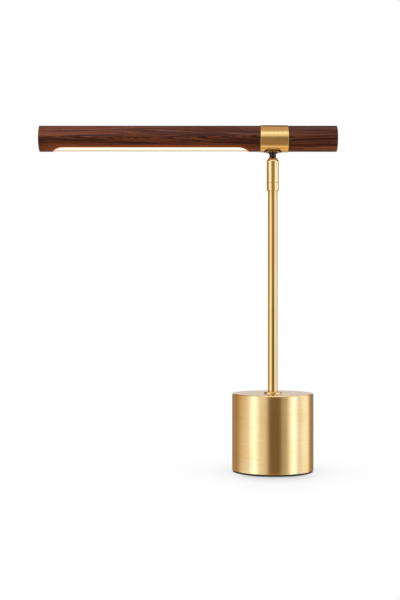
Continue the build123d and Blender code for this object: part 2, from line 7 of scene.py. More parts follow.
import bmesh
import bpy
import numpy as np
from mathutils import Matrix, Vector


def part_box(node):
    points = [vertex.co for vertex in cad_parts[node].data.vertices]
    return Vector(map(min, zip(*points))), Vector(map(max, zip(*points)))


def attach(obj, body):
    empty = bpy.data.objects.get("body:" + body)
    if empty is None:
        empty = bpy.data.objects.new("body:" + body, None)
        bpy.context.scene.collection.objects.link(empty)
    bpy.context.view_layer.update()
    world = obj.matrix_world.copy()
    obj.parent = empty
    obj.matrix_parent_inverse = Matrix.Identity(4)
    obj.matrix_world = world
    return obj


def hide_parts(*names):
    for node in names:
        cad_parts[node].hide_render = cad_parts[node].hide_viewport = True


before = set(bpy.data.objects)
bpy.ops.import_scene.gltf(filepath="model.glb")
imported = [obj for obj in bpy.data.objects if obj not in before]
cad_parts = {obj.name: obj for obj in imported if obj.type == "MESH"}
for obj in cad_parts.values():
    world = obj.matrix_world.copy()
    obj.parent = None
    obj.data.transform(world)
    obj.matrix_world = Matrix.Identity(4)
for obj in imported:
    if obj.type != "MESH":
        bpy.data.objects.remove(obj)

# Looks of a desk lamp: a dark wooden tube with a light slot on a brass stem and a weighted brass drum.
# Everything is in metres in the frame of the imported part: the table is z = 0, the stem stands on the origin,
# -Y is the front and the long arm of the tube points to -X.

log = logging.getLogger("desk_lamp")

MM = 0.001
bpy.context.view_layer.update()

Point = tuple[float, float, float]
Pair = tuple[float, float]
Colour = tuple[float, float, float, float]
Material = bpy.types.Material


class Body(Enum):
    """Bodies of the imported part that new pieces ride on."""

    BASE = "base"
    STUD = "stud"
    HEAD = "head"


class Axis(Enum):
    """Direction that a turned piece is round about."""

    ALONG_TUBE = "x"
    TO_BACK = "y"
    UPRIGHT = "z"


def srgb(red: float, green: float, blue: float) -> Colour:
    """Turn a colour written as screen levels from 0 to 255 into a linear colour.

    Args:
        red: Red level.
        green: Green level.
        blue: Blue level.

    Returns:
        The linear colour with an alpha of one.
    """
    level = np.array([red, green, blue]) / 255.0
    linear = np.where(level <= 0.04045, level / 12.92, ((level + 0.055) / 1.055) ** 2.4)
    return (float(linear[0]), float(linear[1]), float(linear[2]), 1.0)


# Shader writing


class Value:
    """A node's output in an expression: each operation on it adds a Math node to its tree."""

    def __init__(self, tree: "ShaderTree", socket: bpy.types.NodeSocket) -> None:
        """Remember the tree and the output socket."""
        self.tree = tree
        self.socket = socket

    def __add__(self, other: "Value | float") -> "Value":
        """Sum."""
        return self.tree.math("ADD", self, other)

    __radd__ = __add__

    def __mul__(self, other: "Value | float") -> "Value":
        """Product."""
        return self.tree.math("MULTIPLY", self, other)

    __rmul__ = __mul__

    def __sub__(self, other: "Value | float") -> "Value":
        """Difference."""
        return self.tree.math("SUBTRACT", self, other)

    def __rsub__(self, other: "Value | float") -> "Value":
        """Difference with the number first."""
        return self.tree.math("SUBTRACT", other, self)

    def __truediv__(self, other: "Value | float") -> "Value":
        """Quotient."""
        return self.tree.math("DIVIDE", self, other)

    def __rtruediv__(self, other: "Value | float") -> "Value":
        """Quotient with the number first."""
        return self.tree.math("DIVIDE", other, self)

    def __pow__(self, other: "Value | float") -> "Value":
        """Power."""
        return self.tree.math("POWER", self, other)


class ShaderTree:
    """Writes the nodes of one material or of the world."""

    def __init__(self, tree: bpy.types.NodeTree) -> None:
        """Start with an empty tree."""
        self.tree = tree
        tree.nodes.clear()

    def node(
        self, kind: str, settings: dict[str, Any] | None = None, inputs: dict[str | int, Any] | None = None
    ) -> bpy.types.Node:
        """Add one node.

        Args:
            kind: Blender's node type.
            settings: The node's own settings, which are set first.
            inputs: A number, colour or Value for each named or numbered input socket.

        Returns:
            The new node.
        """
        made = self.tree.nodes.new(kind)
        for name, setting in (settings or {}).items():
            setattr(made, name, setting)
        for key, value in (inputs or {}).items():
            if isinstance(value, Value):
                self.tree.links.new(value.socket, made.inputs[key])
            else:
                made.inputs[key].default_value = value
        return made

    def out(self, node: bpy.types.Node, key: str | int = 0) -> Value:
        """Wrap one output socket of a node."""
        return Value(self, node.outputs[key])

    def math(self, operation: str, *terms: "Value | float", clamp: bool = False) -> Value:
        """Add a Math node, by Blender's name of its operation, on one to three terms."""
        settings = {"operation": operation, "use_clamp": clamp}
        return self.out(self.node("ShaderNodeMath", settings, dict(enumerate(terms))))

    def place(self) -> tuple[Value, Value, Value]:
        """Find where the shaded point lies in the part's frame.

        Returns:
            Its x, y and z.
        """
        coordinate = self.node("ShaderNodeTexCoord")
        parts = self.node("ShaderNodeSeparateXYZ", inputs={0: self.out(coordinate, "Object")})
        return self.out(parts, 0), self.out(parts, 1), self.out(parts, 2)

    def vector(self, x: "Value | float", y: "Value | float", z: "Value | float") -> Value:
        """Join three numbers into a vector."""
        return self.out(self.node("ShaderNodeCombineXYZ", inputs={0: x, 1: y, 2: z}))

    def noise(self, where: Value, scale: float = 1.0, detail: float = 2.0, roughness: float = 0.5) -> Value:
        """Add a noise of mean 0.5.

        Args:
            where: The point at which it is read.
            scale: Size of the pattern, larger is finer.
            detail: Number of finer layers.
            roughness: Weight of the finer layers.

        Returns:
            The noise as a number.
        """
        inputs = {"Vector": where, "Scale": scale, "Detail": detail, "Roughness": roughness}
        return self.out(self.node("ShaderNodeTexNoise", {"noise_dimensions": "3D"}, inputs), "Fac")

    def smooth(self, value: Value, low: float, high: float, start: float = 0.0, end: float = 1.0) -> Value:
        """Carry a number smoothly from start to end while the input goes from low to high."""
        inputs = {"Value": value, "From Min": low, "From Max": high, "To Min": start, "To Max": end}
        return self.out(self.node("ShaderNodeMapRange", {"interpolation_type": "SMOOTHSTEP"}, inputs))

    def band(self, value: Value, low: float, rise: float, fall: float, high: float) -> Value:
        """Rise smoothly from 0 at low to 1 at rise, and fall from 1 at fall to 0 at high."""
        return self.smooth(value, low, rise) * self.smooth(value, high, fall)

    def mix(
        self, share: "Value | float", first: "Value | Sequence[float]", second: "Value | Sequence[float]"
    ) -> Value:
        """Mix two colours by the share of the second."""
        settings = {"data_type": "RGBA", "clamp_factor": True}
        return self.out(self.node("ShaderNodeMix", settings, {0: share, 6: first, 7: second}), 2)

    def bump(self, height: Value, distance: float, strength: float) -> Value:
        """Turn a height into a bumped normal."""
        inputs = {"Height": height, "Distance": distance, "Strength": strength}
        return self.out(self.node("ShaderNodeBump", inputs=inputs))

    def surface(self, **sockets: Any) -> None:
        """End a material with one Principled shader.

        Args:
            sockets: Its sockets by name, with underscores for blanks.
        """
        inputs = {name.replace("_", " "): value for name, value in sockets.items()}
        shader = self.node("ShaderNodeBsdfPrincipled", inputs=inputs)
        self.node("ShaderNodeOutputMaterial", inputs={"Surface": self.out(shader)})


def new_material(name: str) -> tuple[Material, ShaderTree]:
    """Make an empty node material and the writer of its tree.

    Args:
        name: Name of the material.

    Returns:
        The material and the writer.
    """
    material = bpy.data.materials.new(name)
    material.use_nodes = True
    return material, ShaderTree(material.node_tree)


# Finishes


@dataclass(frozen=True)
class SatinBrass:
    """Lacquered brass, turned and brushed so that fine lines run round its axis.

    Attributes:
        axis: The axis that the brush lines run round.
        level: Height of the axis above the table, where it lies level.
        colour: Colour of its reflection.
        warm: Second colour, in soft clouds.
        cloud_scale: Size of the clouds, larger is finer.
        roughness: Mean roughness.
        line_pitch: Usual width of a brush line in metres.
        line_depth: Depth of the brush lines in metres.
        line_colour: Colour that the lines bring in.
        line_share: Mean share of that colour.
        contrast: How much the lines vary the colour and the roughness.
        spread: How far the lines draw a reflection out across themselves, from 0 to 1.
        gap_shade_colour: Colour of a painted shade at the rim, standing for the shadow in the gap under the collar.
        gap_shade_from: Distance from the axis beyond which the painted shade darkens it.
        gap_shade_fade: Width over which the painted shade sets in.
    """

    axis: Axis = Axis.UPRIGHT
    level: float = 0.0
    colour: Colour = (0.87, 0.60, 0.26, 1.0)
    warm: Colour = (0.85, 0.56, 0.22, 1.0)
    cloud_scale: float = 26.0
    roughness: float = 0.19
    line_pitch: float = 0.0006
    line_depth: float = 0.00001
    line_colour: Colour = srgb(160, 104, 44)
    line_share: float = 0.08
    contrast: float = 1.0
    spread: float = 0.0
    gap_shade_colour: Colour = (0.02, 0.008, 0.003, 1.0)
    gap_shade_from: float = 1.0
    gap_shade_fade: float = 0.2 * MM

    def material(self, name: str) -> Material:
        """Make the brass.

        Fine lines are a noise that changes quickly along the axis and outwards, and slowly round it.
        They vary the roughness and raise a slight bump, and a wide soft noise shifts the colour. Beyond a given
        distance from the axis a painted shade darkens it to a dark ring.

        Args:
            name: Name of the material.

        Returns:
            The material.
        """
        material, tree = new_material(name)
        x, y, z = tree.place()
        if self.axis is Axis.ALONG_TUBE:
            along, side, up = x, y, z - self.level
        else:
            along, side, up = z, x, y
        out = tree.math("SQRT", side * side + up * up + 1e-9)
        run = (along + out) / self.line_pitch
        lines = tree.noise(tree.vector(side / out, up / out, run), 1.0, 3.0, 0.65)
        swing = lines - 0.5
        cloud = tree.noise(tree.vector(x, y, z), self.cloud_scale)
        tone = tree.mix(tree.smooth(cloud, 0.35, 0.7), self.colour, self.warm)
        tone = tree.mix(swing * (0.4 * self.contrast) + self.line_share, tone, self.line_colour)
        # Painted shade: a dark ring beyond a given distance from the axis, for the shadow in the gap under the
        # collar; at the default distance it is off
        edge = tree.smooth(out, self.gap_shade_from, self.gap_shade_from + self.gap_shade_fade)
        tree.surface(
            Base_Color=tree.mix(edge, tone, self.gap_shade_colour),
            Metallic=1.0,
            Roughness=self.roughness + swing * (0.10 * self.contrast),
            Anisotropic=self.spread,
            Normal=tree.bump(lines, self.line_depth, 0.6),
        )
        return material


@dataclass(frozen=True)
class DarkWood:
    """Dark red-brown wood with leaning growth rings, purple-black lines and a satin oil finish.

    Attributes:
        level: Height of the tube's axis above the table.
        pith: Place of the tree's centre line seen along the tube, beside the tube's axis.
        lean: How far the centre line drifts to the back for each metre along the tube.
        sway: How far the centre line strays up and down in metres.
        point: How sharply the tongues are pointed.
        ring_width: Usual width of a growth ring in metres.
        drift: How many rings' widths the rings are pushed about.
        slot_light: Colour of a painted glow of the lens's light, an emission, on the rim of the light slot.
    """

    level: float
    pith: Pair = (0.031, 0.0005)
    lean: float = 0.024
    sway: float = 0.012
    point: float = 0.24
    ring_width: float = 0.00115
    drift: float = 3.4
    slot_light: Colour = srgb(194, 104, 16)

    def material(self, name: str) -> Material:
        """Make the wood.

        A growth ring is a shell round a centre line that leans against the tube, so that the rings come out
        as long tongues. Its number is the distance to that line, with a share of the height added so that the
        tongues are pointed, over the ring's width, pushed about by long slow noises. The fraction of it darkens
        from soft early wood to a sharp late line, of its own weight in each ring. Fibres are noises drawn out
        along the tube. Each layer of colour is then laid over the last by its share. Beside the grain, some layers
        are painted light and shade: a painted sheen on the upper half and high on the short arm, a painted warm
        light on the underside, and painted shade in a middle band, lower on the short arm, towards the collar,
        along the crest and at the lower corner of the long arm's end. A mesh attribute named painted_slot_glow
        paints a glow of the lens's light, as an emission, on the rim of the light slot.

        Args:
            name: Name of the material.

        Returns:
            The material.
        """
        material, tree = new_material(name)
        x, y, z = tree.place()
        up = z - self.level

        def figure(
            along: Value, across: "Value | float", over: "Value | float", detail: float = 2.0, finer: float = 0.5
        ) -> Value:
            """Noise at a place that is stretched by its own factor in each direction."""
            return tree.noise(tree.vector(along, across, over), 1.0, detail, finer)

        drift = figure(x * 6.0, y * 18.0, up * 30.0)
        stray = figure(x * 9.0 + 5.0, y * 14.0, 0.0, 1.0)
        back = (y - self.pith[0]) - x * self.lean
        over = (up - self.pith[1]) + (stray - 0.5) * self.sway
        far = tree.math("SQRT", back * back + over * over)
        high = tree.math("SQRT", over * over + 0.0000008)
        ring = (far - high * self.point) / self.ring_width + (drift - 0.5) * self.drift
        late = tree.band(tree.math("FRACT", ring), 0.50, 0.92, 0.94, 1.0)
        part = tree.math("FRACT", ring * 2.7 + drift * 2.0)
        thin = tree.band(part, 0.40, 0.85, 0.90, 1.0)
        pale = tree.band(part, 0.0, 0.12, 0.25, 0.40)
        weight = figure(tree.math("FLOOR", ring) * 7.3, x * 2.0, 0.0, 0.0)
        fibre = figure(x * 14.0, y * 520.0, up * 520.0 + drift * 3.0, 4.0, 0.6)
        streak = figure(x * 4.0, y * 240.0, up * 320.0 + drift * 8.0, 3.0, 0.6)
        upper = figure(x * 3.0 + 2.0, y * 300.0, up * 400.0 + x * 22.0 + drift * 6.0, 2.0, 0.6)
        cloud = figure(x * 7.0, y * 30.0, up * 46.0)
        pores = figure(x * 90.0, y * 1500.0, up * 1500.0)
        # Masks by height: the upper half for a painted sheen, and a middle band for painted shade
        above = tree.smooth(up, 0.001, 0.005)
        middle = tree.band(up, -0.0115, -0.0075, -0.001, 0.004)
        short_arm = tree.smooth(x, 0.0, 0.03)
        # Height bands of the short arm: a painted sheen high up and a painted shade below it
        sheen_band_painted = tree.band(up, 0.0100, 0.0125, 0.0150, 0.0165)
        shade_band_painted = tree.band(up, 0.001, 0.004, 0.0090, 0.0115)
        layers = (
            # Pale and dark streaks
            (tree.smooth(streak, 0.48, 0.36) * 0.6, (150, 84, 46)),
            (tree.smooth(streak, 0.50, 0.62) * 0.85, (44, 15, 6)),
            # Thin and pale lines inside the rings, and the rings' late wood
            (thin * 0.6, (46, 17, 9)),
            (pale * 0.22, (170, 104, 72)),
            (late * tree.smooth(weight, 0.32, 0.54, 0.25, 1.0), (26, 8, 5)),
            # Pale and dark fibres, and open pores
            (tree.smooth(fibre, 0.52, 0.7) * 0.5, (152, 80, 44)),
            (tree.smooth(fibre, 0.48, 0.3) * 0.6, (30, 10, 4)),
            (tree.smooth(pores, 0.62, 0.74) * 0.45, (24, 8, 4)),
            # Greyer upper half: a painted sheen of the light from above, with grain streaks of its own greyed by it
            (tree.smooth(up, 0.001, 0.008) * 0.30, (92, 54, 46)),
            (above * tree.smooth(upper, 0.52, 0.62) * 0.45, (56, 30, 26)),
            (above * tree.smooth(upper, 0.47, 0.38) * 0.35, (146, 96, 80)),
            # Painted shade in a band along the middle, painted warm light on the underside, and painted shade for
            # less light towards the collar
            (middle * (tree.smooth(x, -0.10, -0.04) * 0.22 + 0.35), (38, 14, 5)),
            (tree.smooth(up, -0.008, -0.0155) * (short_arm * 0.2 + 0.5), (156, 76, 36)),
            (tree.smooth(x, -0.24, 0.0) * 0.36, (46, 19, 13)),
            # Grain streaks of the short arm, and bands of painted sheen and painted shade along it
            (short_arm * tree.smooth(streak, 0.49, 0.55) * 0.6, (34, 13, 9)),
            (short_arm * tree.smooth(streak, 0.46, 0.40) * 0.22, (140, 78, 48)),
            (short_arm * sheen_band_painted * 0.30, (118, 76, 66)),
            (short_arm * shade_band_painted * 0.42, (46, 26, 22)),
            # Painted shade along the crest, and at the lower corner of the long arm's end
            (tree.smooth(up, 0.0152, 0.0178) * 0.6, (38, 16, 11)),
            (tree.smooth(x, -0.32, -0.342) * tree.smooth(up, 0.002, -0.004) * 0.45, (40, 15, 6)),
        )
        tone = tree.mix(tree.smooth(cloud, 0.34, 0.66), srgb(96, 43, 18), srgb(124, 62, 32))
        for share, colour in layers:
            tone = tree.mix(share, tone, srgb(*colour))
        # Painted light: a glow of the lens's light on the rim of the light slot, as an emission read from a mesh
        # attribute
        edge = tree.out(tree.node("ShaderNodeAttribute", {"attribute_name": "painted_slot_glow"}), "Fac")
        tree.surface(
            Base_Color=tone,
            Roughness=0.38 + (fibre - 0.5) * 0.25 + (late - 0.5) * 0.06,
            Specular_IOR_Level=0.10,
            Emission_Color=tree.mix(edge, srgb(0, 0, 0), self.slot_light),
            Emission_Strength=1.0,
            Normal=tree.bump(fibre * 0.6 + pores * 0.4 - late * 0.2, 0.00006, 0.5),
        )
        return material


@dataclass(frozen=True)
class OpalGlow:
    """Lit opal lens: white, with a creamy lowest line.

    Attributes:
        level: Height of the tube's axis above the table.
        radius: Radius of its curve round that axis.
        strength: How brightly it shines.
        chip_pitch: Distance between the light chips behind it.
        chip_ripple: How much brighter it is over a chip.
    """

    level: float
    radius: float
    strength: float = 1.0
    chip_pitch: float = 10.4 * MM
    chip_ripple: float = 0.012

    def material(self, name: str) -> Material:
        """Make the lens.

        The light is creamy at the lowest line of the curve and whiter up its flanks, with the faint
        unevenness of the light chips behind it.

        Args:
            name: Name of the material.

        Returns:
            The material.
        """
        material, tree = new_material(name)
        x, y, z = tree.place()
        depth = (self.level - z) / self.radius
        chips = tree.math("SINE", x * (2 * math.pi / self.chip_pitch)) * self.chip_ripple
        grain = tree.noise(tree.vector(x, y, z), 900.0)
        colour = tree.mix(tree.smooth(depth, 0.985, 0.88), (0.42, 0.30, 0.14, 1.0), (0.88, 0.86, 0.80, 1.0))
        colour = tree.mix(chips + (grain - 0.5) * 0.03 + 0.02, colour, (1.0, 0.95, 0.85, 1.0))
        tree.surface(
            Base_Color=tree.mix(grain * 0.2, srgb(156, 150, 138), srgb(144, 138, 124)),
            Roughness=0.42 + (grain - 0.5) * 0.08,
            Emission_Color=colour,
            Emission_Strength=self.strength,
        )
        return material


@dataclass(frozen=True)
class GrainedFinish:
    """A plain technical finish with a fine grain: castings, plated steel, moulded plastic, rubber.

    Attributes:
        colour: Main colour.
        shade: Second colour that the grain brings in.
        roughness: Mean roughness.
        metallic: 1 for bare metal and 0 for the rest.
        grain: Size of the grain, larger is finer.
        relief: Height of the grain in metres.
    """

    colour: Colour
    shade: Colour
    roughness: float
    metallic: float
    grain: float
    relief: float

    def material(self, name: str) -> Material:
        """Make the finish.

        A fine noise mixes the two colours, varies the roughness and raises the grain, and a wide one clouds them.

        Args:
            name: Name of the material.

        Returns:
            The material.
        """
        material, tree = new_material(name)
        where = tree.vector(*tree.place())
        grain = tree.noise(where, self.grain, 3.0, 0.6)
        cloud = tree.noise(where, self.grain / 30.0)
        share = tree.math("ADD", (grain - 0.5) * 0.8, cloud, clamp=True)
        tree.surface(
            Base_Color=tree.mix(share, self.colour, self.shade),
            Metallic=self.metallic,
            Roughness=self.roughness + (grain - 0.5) * 0.16,
            Normal=tree.bump(grain, self.relief, 0.5),
        )
        return material


@dataclass(frozen=True)
class BoardFinish:
    """White circuit board with grey tracks.

    Attributes:
        resist: Colour of the glossy resist.
        track: Colour of the tracks.
    """

    resist: Colour = (0.70, 0.71, 0.68, 1.0)
    track: Colour = srgb(150, 154, 148)

    def material(self, name: str) -> Material:
        """Make the board.

        Tracks are thin lines where a slow noise passes its middle value, under a glossy white resist.

        Args:
            name: Name of the material.

        Returns:
            The material.
        """
        material, tree = new_material(name)
        field_noise = tree.noise(tree.vector(*tree.place()), 160.0, 1.0)
        track = tree.smooth(tree.math("ABSOLUTE", field_noise - 0.5), 0.03, 0.015)
        tree.surface(
            Base_Color=tree.mix(track * 0.6, self.resist, self.track),
            Roughness=0.34 + track * 0.08,
            Normal=tree.bump(track, 0.00003, 0.4),
        )
        return material


# Surfaces


def rounded_profile(corners: Sequence[Point], steps: int = 7) -> np.ndarray:
    """Round the corners of an open outline.

    A corner of radius f is replaced by the arc that touches both of its sides. The arc starts at the distance
    f / tan(half the corner's angle) from the corner, and its centre lies on the line that halves the corner.

    Args:
        corners: (radius from the axis, height, rounding) of each corner in metres.
        steps: Number of points on each arc.

    Returns:
        The points of the outline as an array of (radius, height).
    """
    points: list[np.ndarray] = []
    last = len(corners) - 1
    for index, (out, height, rounding) in enumerate(corners):
        corner = np.array([out, height])
        if rounding <= 0 or index in (0, last):
            points.append(corner[None])
            continue
        before = np.array(corners[index - 1][:2]) - corner
        after = np.array(corners[index + 1][:2]) - corner
        before /= np.linalg.norm(before)
        after /= np.linalg.norm(after)
        half = 0.5 * math.acos(float(np.clip(before @ after, -1.0, 1.0)))
        middle = (before + after) / np.linalg.norm(before + after)
        centre = corner + middle * rounding / math.sin(half)
        start = corner + before * rounding / math.tan(half) - centre
        end = corner + after * rounding / math.tan(half) - centre
        turn = math.atan2(start[0] * end[1] - start[1] * end[0], float(start @ end))
        angle = math.atan2(start[1], start[0]) + turn * np.linspace(0.0, 1.0, steps)
        points.append(centre + rounding * np.stack([np.cos(angle), np.sin(angle)], axis=1))
    return np.concatenate(points)


def dense(profile: np.ndarray, longest: float) -> np.ndarray:
    """Add points to the long runs of an outline.

    Args:
        profile: Points of the outline.
        longest: Longest run that is left between two points.

    Returns:
        The outline with points at even steps along its length where a run was longer.
    """
    length = np.linalg.norm(np.diff(profile, axis=0), axis=1)
    place = np.concatenate([[0.0], np.cumsum(length)])
    added = np.linspace(0.0, place[-1], max(2, int(place[-1] / longest)))
    gap = np.abs(added[:, None] - place[None, :]).min(axis=1)
    every = np.sort(np.concatenate([place, added[gap > longest * 0.35]]))
    return np.stack([np.interp(every, place, profile[:, 0]), np.interp(every, place, profile[:, 1])], axis=1)


def closed_outline(corners: Sequence[Point], longest: float) -> np.ndarray:
    """Round the corners of a closed outline but its first, and add points to runs over the longest one."""
    return dense(rounded_profile([*corners, corners[0]]), longest)[:-1]


class SurfaceMesh:
    """Collects grids of points as numpy arrays and makes one mesh object of them."""

    def __init__(self) -> None:
        """Start empty."""
        self.points: list[np.ndarray] = []
        self.faces: list[np.ndarray] = []
        self.edge_values: list[np.ndarray] = []
        self.count = 0

    def grid(
        self, points: np.ndarray, wrap: bool = False, flip: bool = False, edge_value: np.ndarray | float = 0.0
    ) -> None:
        """Add a grid of quads.

        Args:
            points: Array of rows x columns x 3.
            wrap: Whether the last column joins the first.
            flip: Whether its faces are turned round.
            edge_value: Value of the painted_slot_glow attribute at each point.
        """
        rows, columns = points.shape[:2]
        index = self.count + np.arange(rows * columns).reshape(rows, columns)
        right = np.roll(index, -1, axis=1) if wrap else index[:, 1:]
        left = index if wrap else index[:, :-1]
        quads = np.stack([left[:-1], right[:-1], right[1:], left[1:]], axis=-1).reshape(-1, 4)
        self.points.append(points.reshape(-1, 3))
        self.faces.append(quads[:, ::-1] if flip else quads)
        self.edge_values.append(np.broadcast_to(edge_value, points.shape[:2]).reshape(-1))
        self.count += rows * columns

    def build(self, name: str, material: Material, sharp: float = 50.0, painted_slot_glow: bool = False) -> bpy.types.Object:
        """Make the object.

        Points that meet are merged, faces without an area are dropped, and the normals are made to point
        outwards.

        Args:
            name: Name of the piece.
            material: Its finish.
            sharp: Angle in degrees above which an edge stays sharp.
            painted_slot_glow: Whether the painted_slot_glow attribute is kept.

        Returns:
            The object, not yet riding on a body.
        """
        mesh = bpy.data.meshes.new(name)
        points = np.concatenate(self.points)
        faces = np.concatenate(self.faces)
        mesh.from_pydata(points.tolist(), [], faces.tolist())
        if painted_slot_glow:
            values = mesh.attributes.new("painted_slot_glow", "FLOAT", "POINT")
            values.data.foreach_set("value", np.concatenate(self.edge_values).astype(np.float32))
        work = bmesh.new()
        work.from_mesh(mesh)
        bmesh.ops.remove_doubles(work, verts=work.verts, dist=1e-6)
        bmesh.ops.dissolve_degenerate(work, dist=1e-7, edges=work.edges)
        bmesh.ops.recalc_face_normals(work, faces=work.faces)
        open_edges = sum(1 for edge in work.edges if not edge.is_manifold)
        work.to_mesh(mesh)
        work.free()
        mesh.shade_smooth()
        mesh.set_sharp_from_angle(angle=math.radians(sharp))
        mesh.materials.append(material)
        piece = bpy.data.objects.new(name, mesh)
        bpy.context.scene.collection.objects.link(piece)
        log.info("%s: %d faces, %d open edges", name, len(mesh.polygons), open_edges)
        return piece


def turned(
    profile: np.ndarray, around: int, axis: Axis = Axis.UPRIGHT, centre: Point = (0.0, 0.0, 0.0)
) -> SurfaceMesh:
    """Turn a closed outline about an axis.

    A point is the axis point at the outline's height plus the outline's radius times (cos t, sin t), for t round
    a full turn. The outline's end joins its start.

    Args:
        profile: Array of (radius, place along the axis), in metres, without a repeated last point.
        around: Number of points round the axis.
        axis: Direction of the axis.
        centre: A point on the axis, from which places along it are measured.

    Returns:
        The surface.
    """
    loop = np.concatenate([profile, profile[:1]])
    angle = np.linspace(0.0, 2 * math.pi, around, endpoint=False)
    one = loop[:, :1] * np.cos(angle)
    two = loop[:, :1] * np.sin(angle)
    along = np.repeat(loop[:, 1:], around, axis=1)
    order = {Axis.UPRIGHT: (one, two, along), Axis.TO_BACK: (two, along, one), Axis.ALONG_TUBE: (along, one, two)}
    surface = SurfaceMesh()
    surface.grid(np.stack(order[axis], axis=-1) + np.array(centre), wrap=True)
    return surface


def level_line(x: np.ndarray, y: np.ndarray, z: np.ndarray | float) -> np.ndarray:
    """Points of a line at one height, or at a height of its own for each."""
    return np.stack([x, y, np.broadcast_to(z, x.shape)], axis=-1)


def present(piece: bpy.types.Object, body: Body, *nodes: str, slot: str) -> None:
    """Let a piece ride on its body and stand for CAD nodes.

    Args:
        piece: The finished piece.
        body: The body it moves with.
        nodes: The CAD nodes that it replaces, if any.
        slot: The record's material slot for its finish; not used.
    """
    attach(piece, body.value)
    if nodes:
        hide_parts(*nodes)
    log.info("%s rides on %s and stands for %s", piece.name, body.value, ", ".join(nodes) or "nothing")


# Sub-assemblies


@dataclass
class DrumBase:
    """The weighted brass drum with its black foot and the cord bush at its back.

    Attributes:
        wall: Thickness of the drum's side.
        top: Thickness of its top.
        bevel: Height of the steep bevel round its top edge.
        bevel_lean: Width of the bevel over its height.
        rise: How far its top lies above the solid's top.
        bore: Radius of the hole in its top.
        bush_height: Height of the bush above the table.
        bush_bore: Radius of the hole for the cord.
        bush_neck: Radius of the bush in the wall.
        bush_lip: Radius of the lip inside the wall.
        bush_lip_length: Length of that lip.
        bush_flange: Radius of the flange outside.
    """

    wall: float = 1.6 * MM
    top: float = 3.0 * MM
    bevel: float = 1.1 * MM
    bevel_lean: float = 0.45
    rise: float = 1.0 * MM
    bore: float = 5.1 * MM
    bush_height: float = 16.9 * MM
    bush_bore: float = 3.1 * MM
    bush_neck: float = 4.9 * MM
    bush_lip: float = 5.8 * MM
    bush_lip_length: float = 2.2 * MM
    bush_flange: float = 7.0 * MM

    def drum(self, brass: Material) -> None:
        """Make the drum as a turned shell, open below, with a steep narrow bevel round its top.

        Args:
            brass: Its finish.
        """
        low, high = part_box("base_shell")
        out, inner = high.x, high.x - self.wall
        roof, crest = high.z - self.top, high.z + self.rise
        corners = [
            (inner, low.z, 0.0),
            (out, low.z, 0.6 * MM),
            (out, crest - self.bevel, 0.3 * MM),
            (out - self.bevel * self.bevel_lean, crest, 0.3 * MM),
            (self.bore, crest, 0.2 * MM),
            (self.bore, roof, 0.2 * MM),
            (inner, roof, 0.5 * MM),
        ]
        piece = turned(closed_outline(corners, 6 * MM), 256).build("brass_drum", brass)
        present(piece, Body.BASE, "base_shell", slot="satin_brass")

    def foot(self, rubber: Material) -> None:
        """Make the black foot as a turned disc with softened edges.

        Args:
            rubber: Its finish.
        """
        low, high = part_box("foot_pad")
        corners = [
            (0.0, low.z, 0.0),
            (high.x, low.z, 0.35 * MM),
            (high.x, high.z, 0.15 * MM),
            (0.0, high.z, 0.0),
        ]
        piece = turned(dense(rounded_profile(corners), 5 * MM), 192).build("rubber_foot", rubber)
        present(piece, Body.BASE, "foot_pad", slot="black_rubber")

    def bush(self, plastic: Material) -> None:
        """Make the cord bush as a turned sleeve with a round flange outside and a lip inside.

        Args:
            plastic: Its finish.
        """
        low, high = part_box("cord_bush")
        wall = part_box("base_shell")[1].y
        corners = [
            (self.bush_bore, low.y, 0.3 * MM),
            (self.bush_lip, low.y, 0.3 * MM),
            (self.bush_lip, low.y + self.bush_lip_length, 0.2 * MM),
            (self.bush_neck, low.y + self.bush_lip_length, 0.0),
            (self.bush_neck, wall, 0.0),
            (self.bush_flange, wall, 0.1 * MM),
            (self.bush_flange, high.y, 0.9 * MM),
            (self.bush_bore, high.y, 0.5 * MM),
        ]
        middle = (self.bush_bore, 0.5 * (low.y + high.y), 0.0)
        profile = rounded_profile([middle, *corners, middle])[:-1]
        surface = turned(profile, 96, Axis.TO_BACK, (0.0, 0.0, self.bush_height))
        present(surface.build("cord_bush_sleeve", plastic), Body.BASE, "cord_bush", slot="black_plastic")


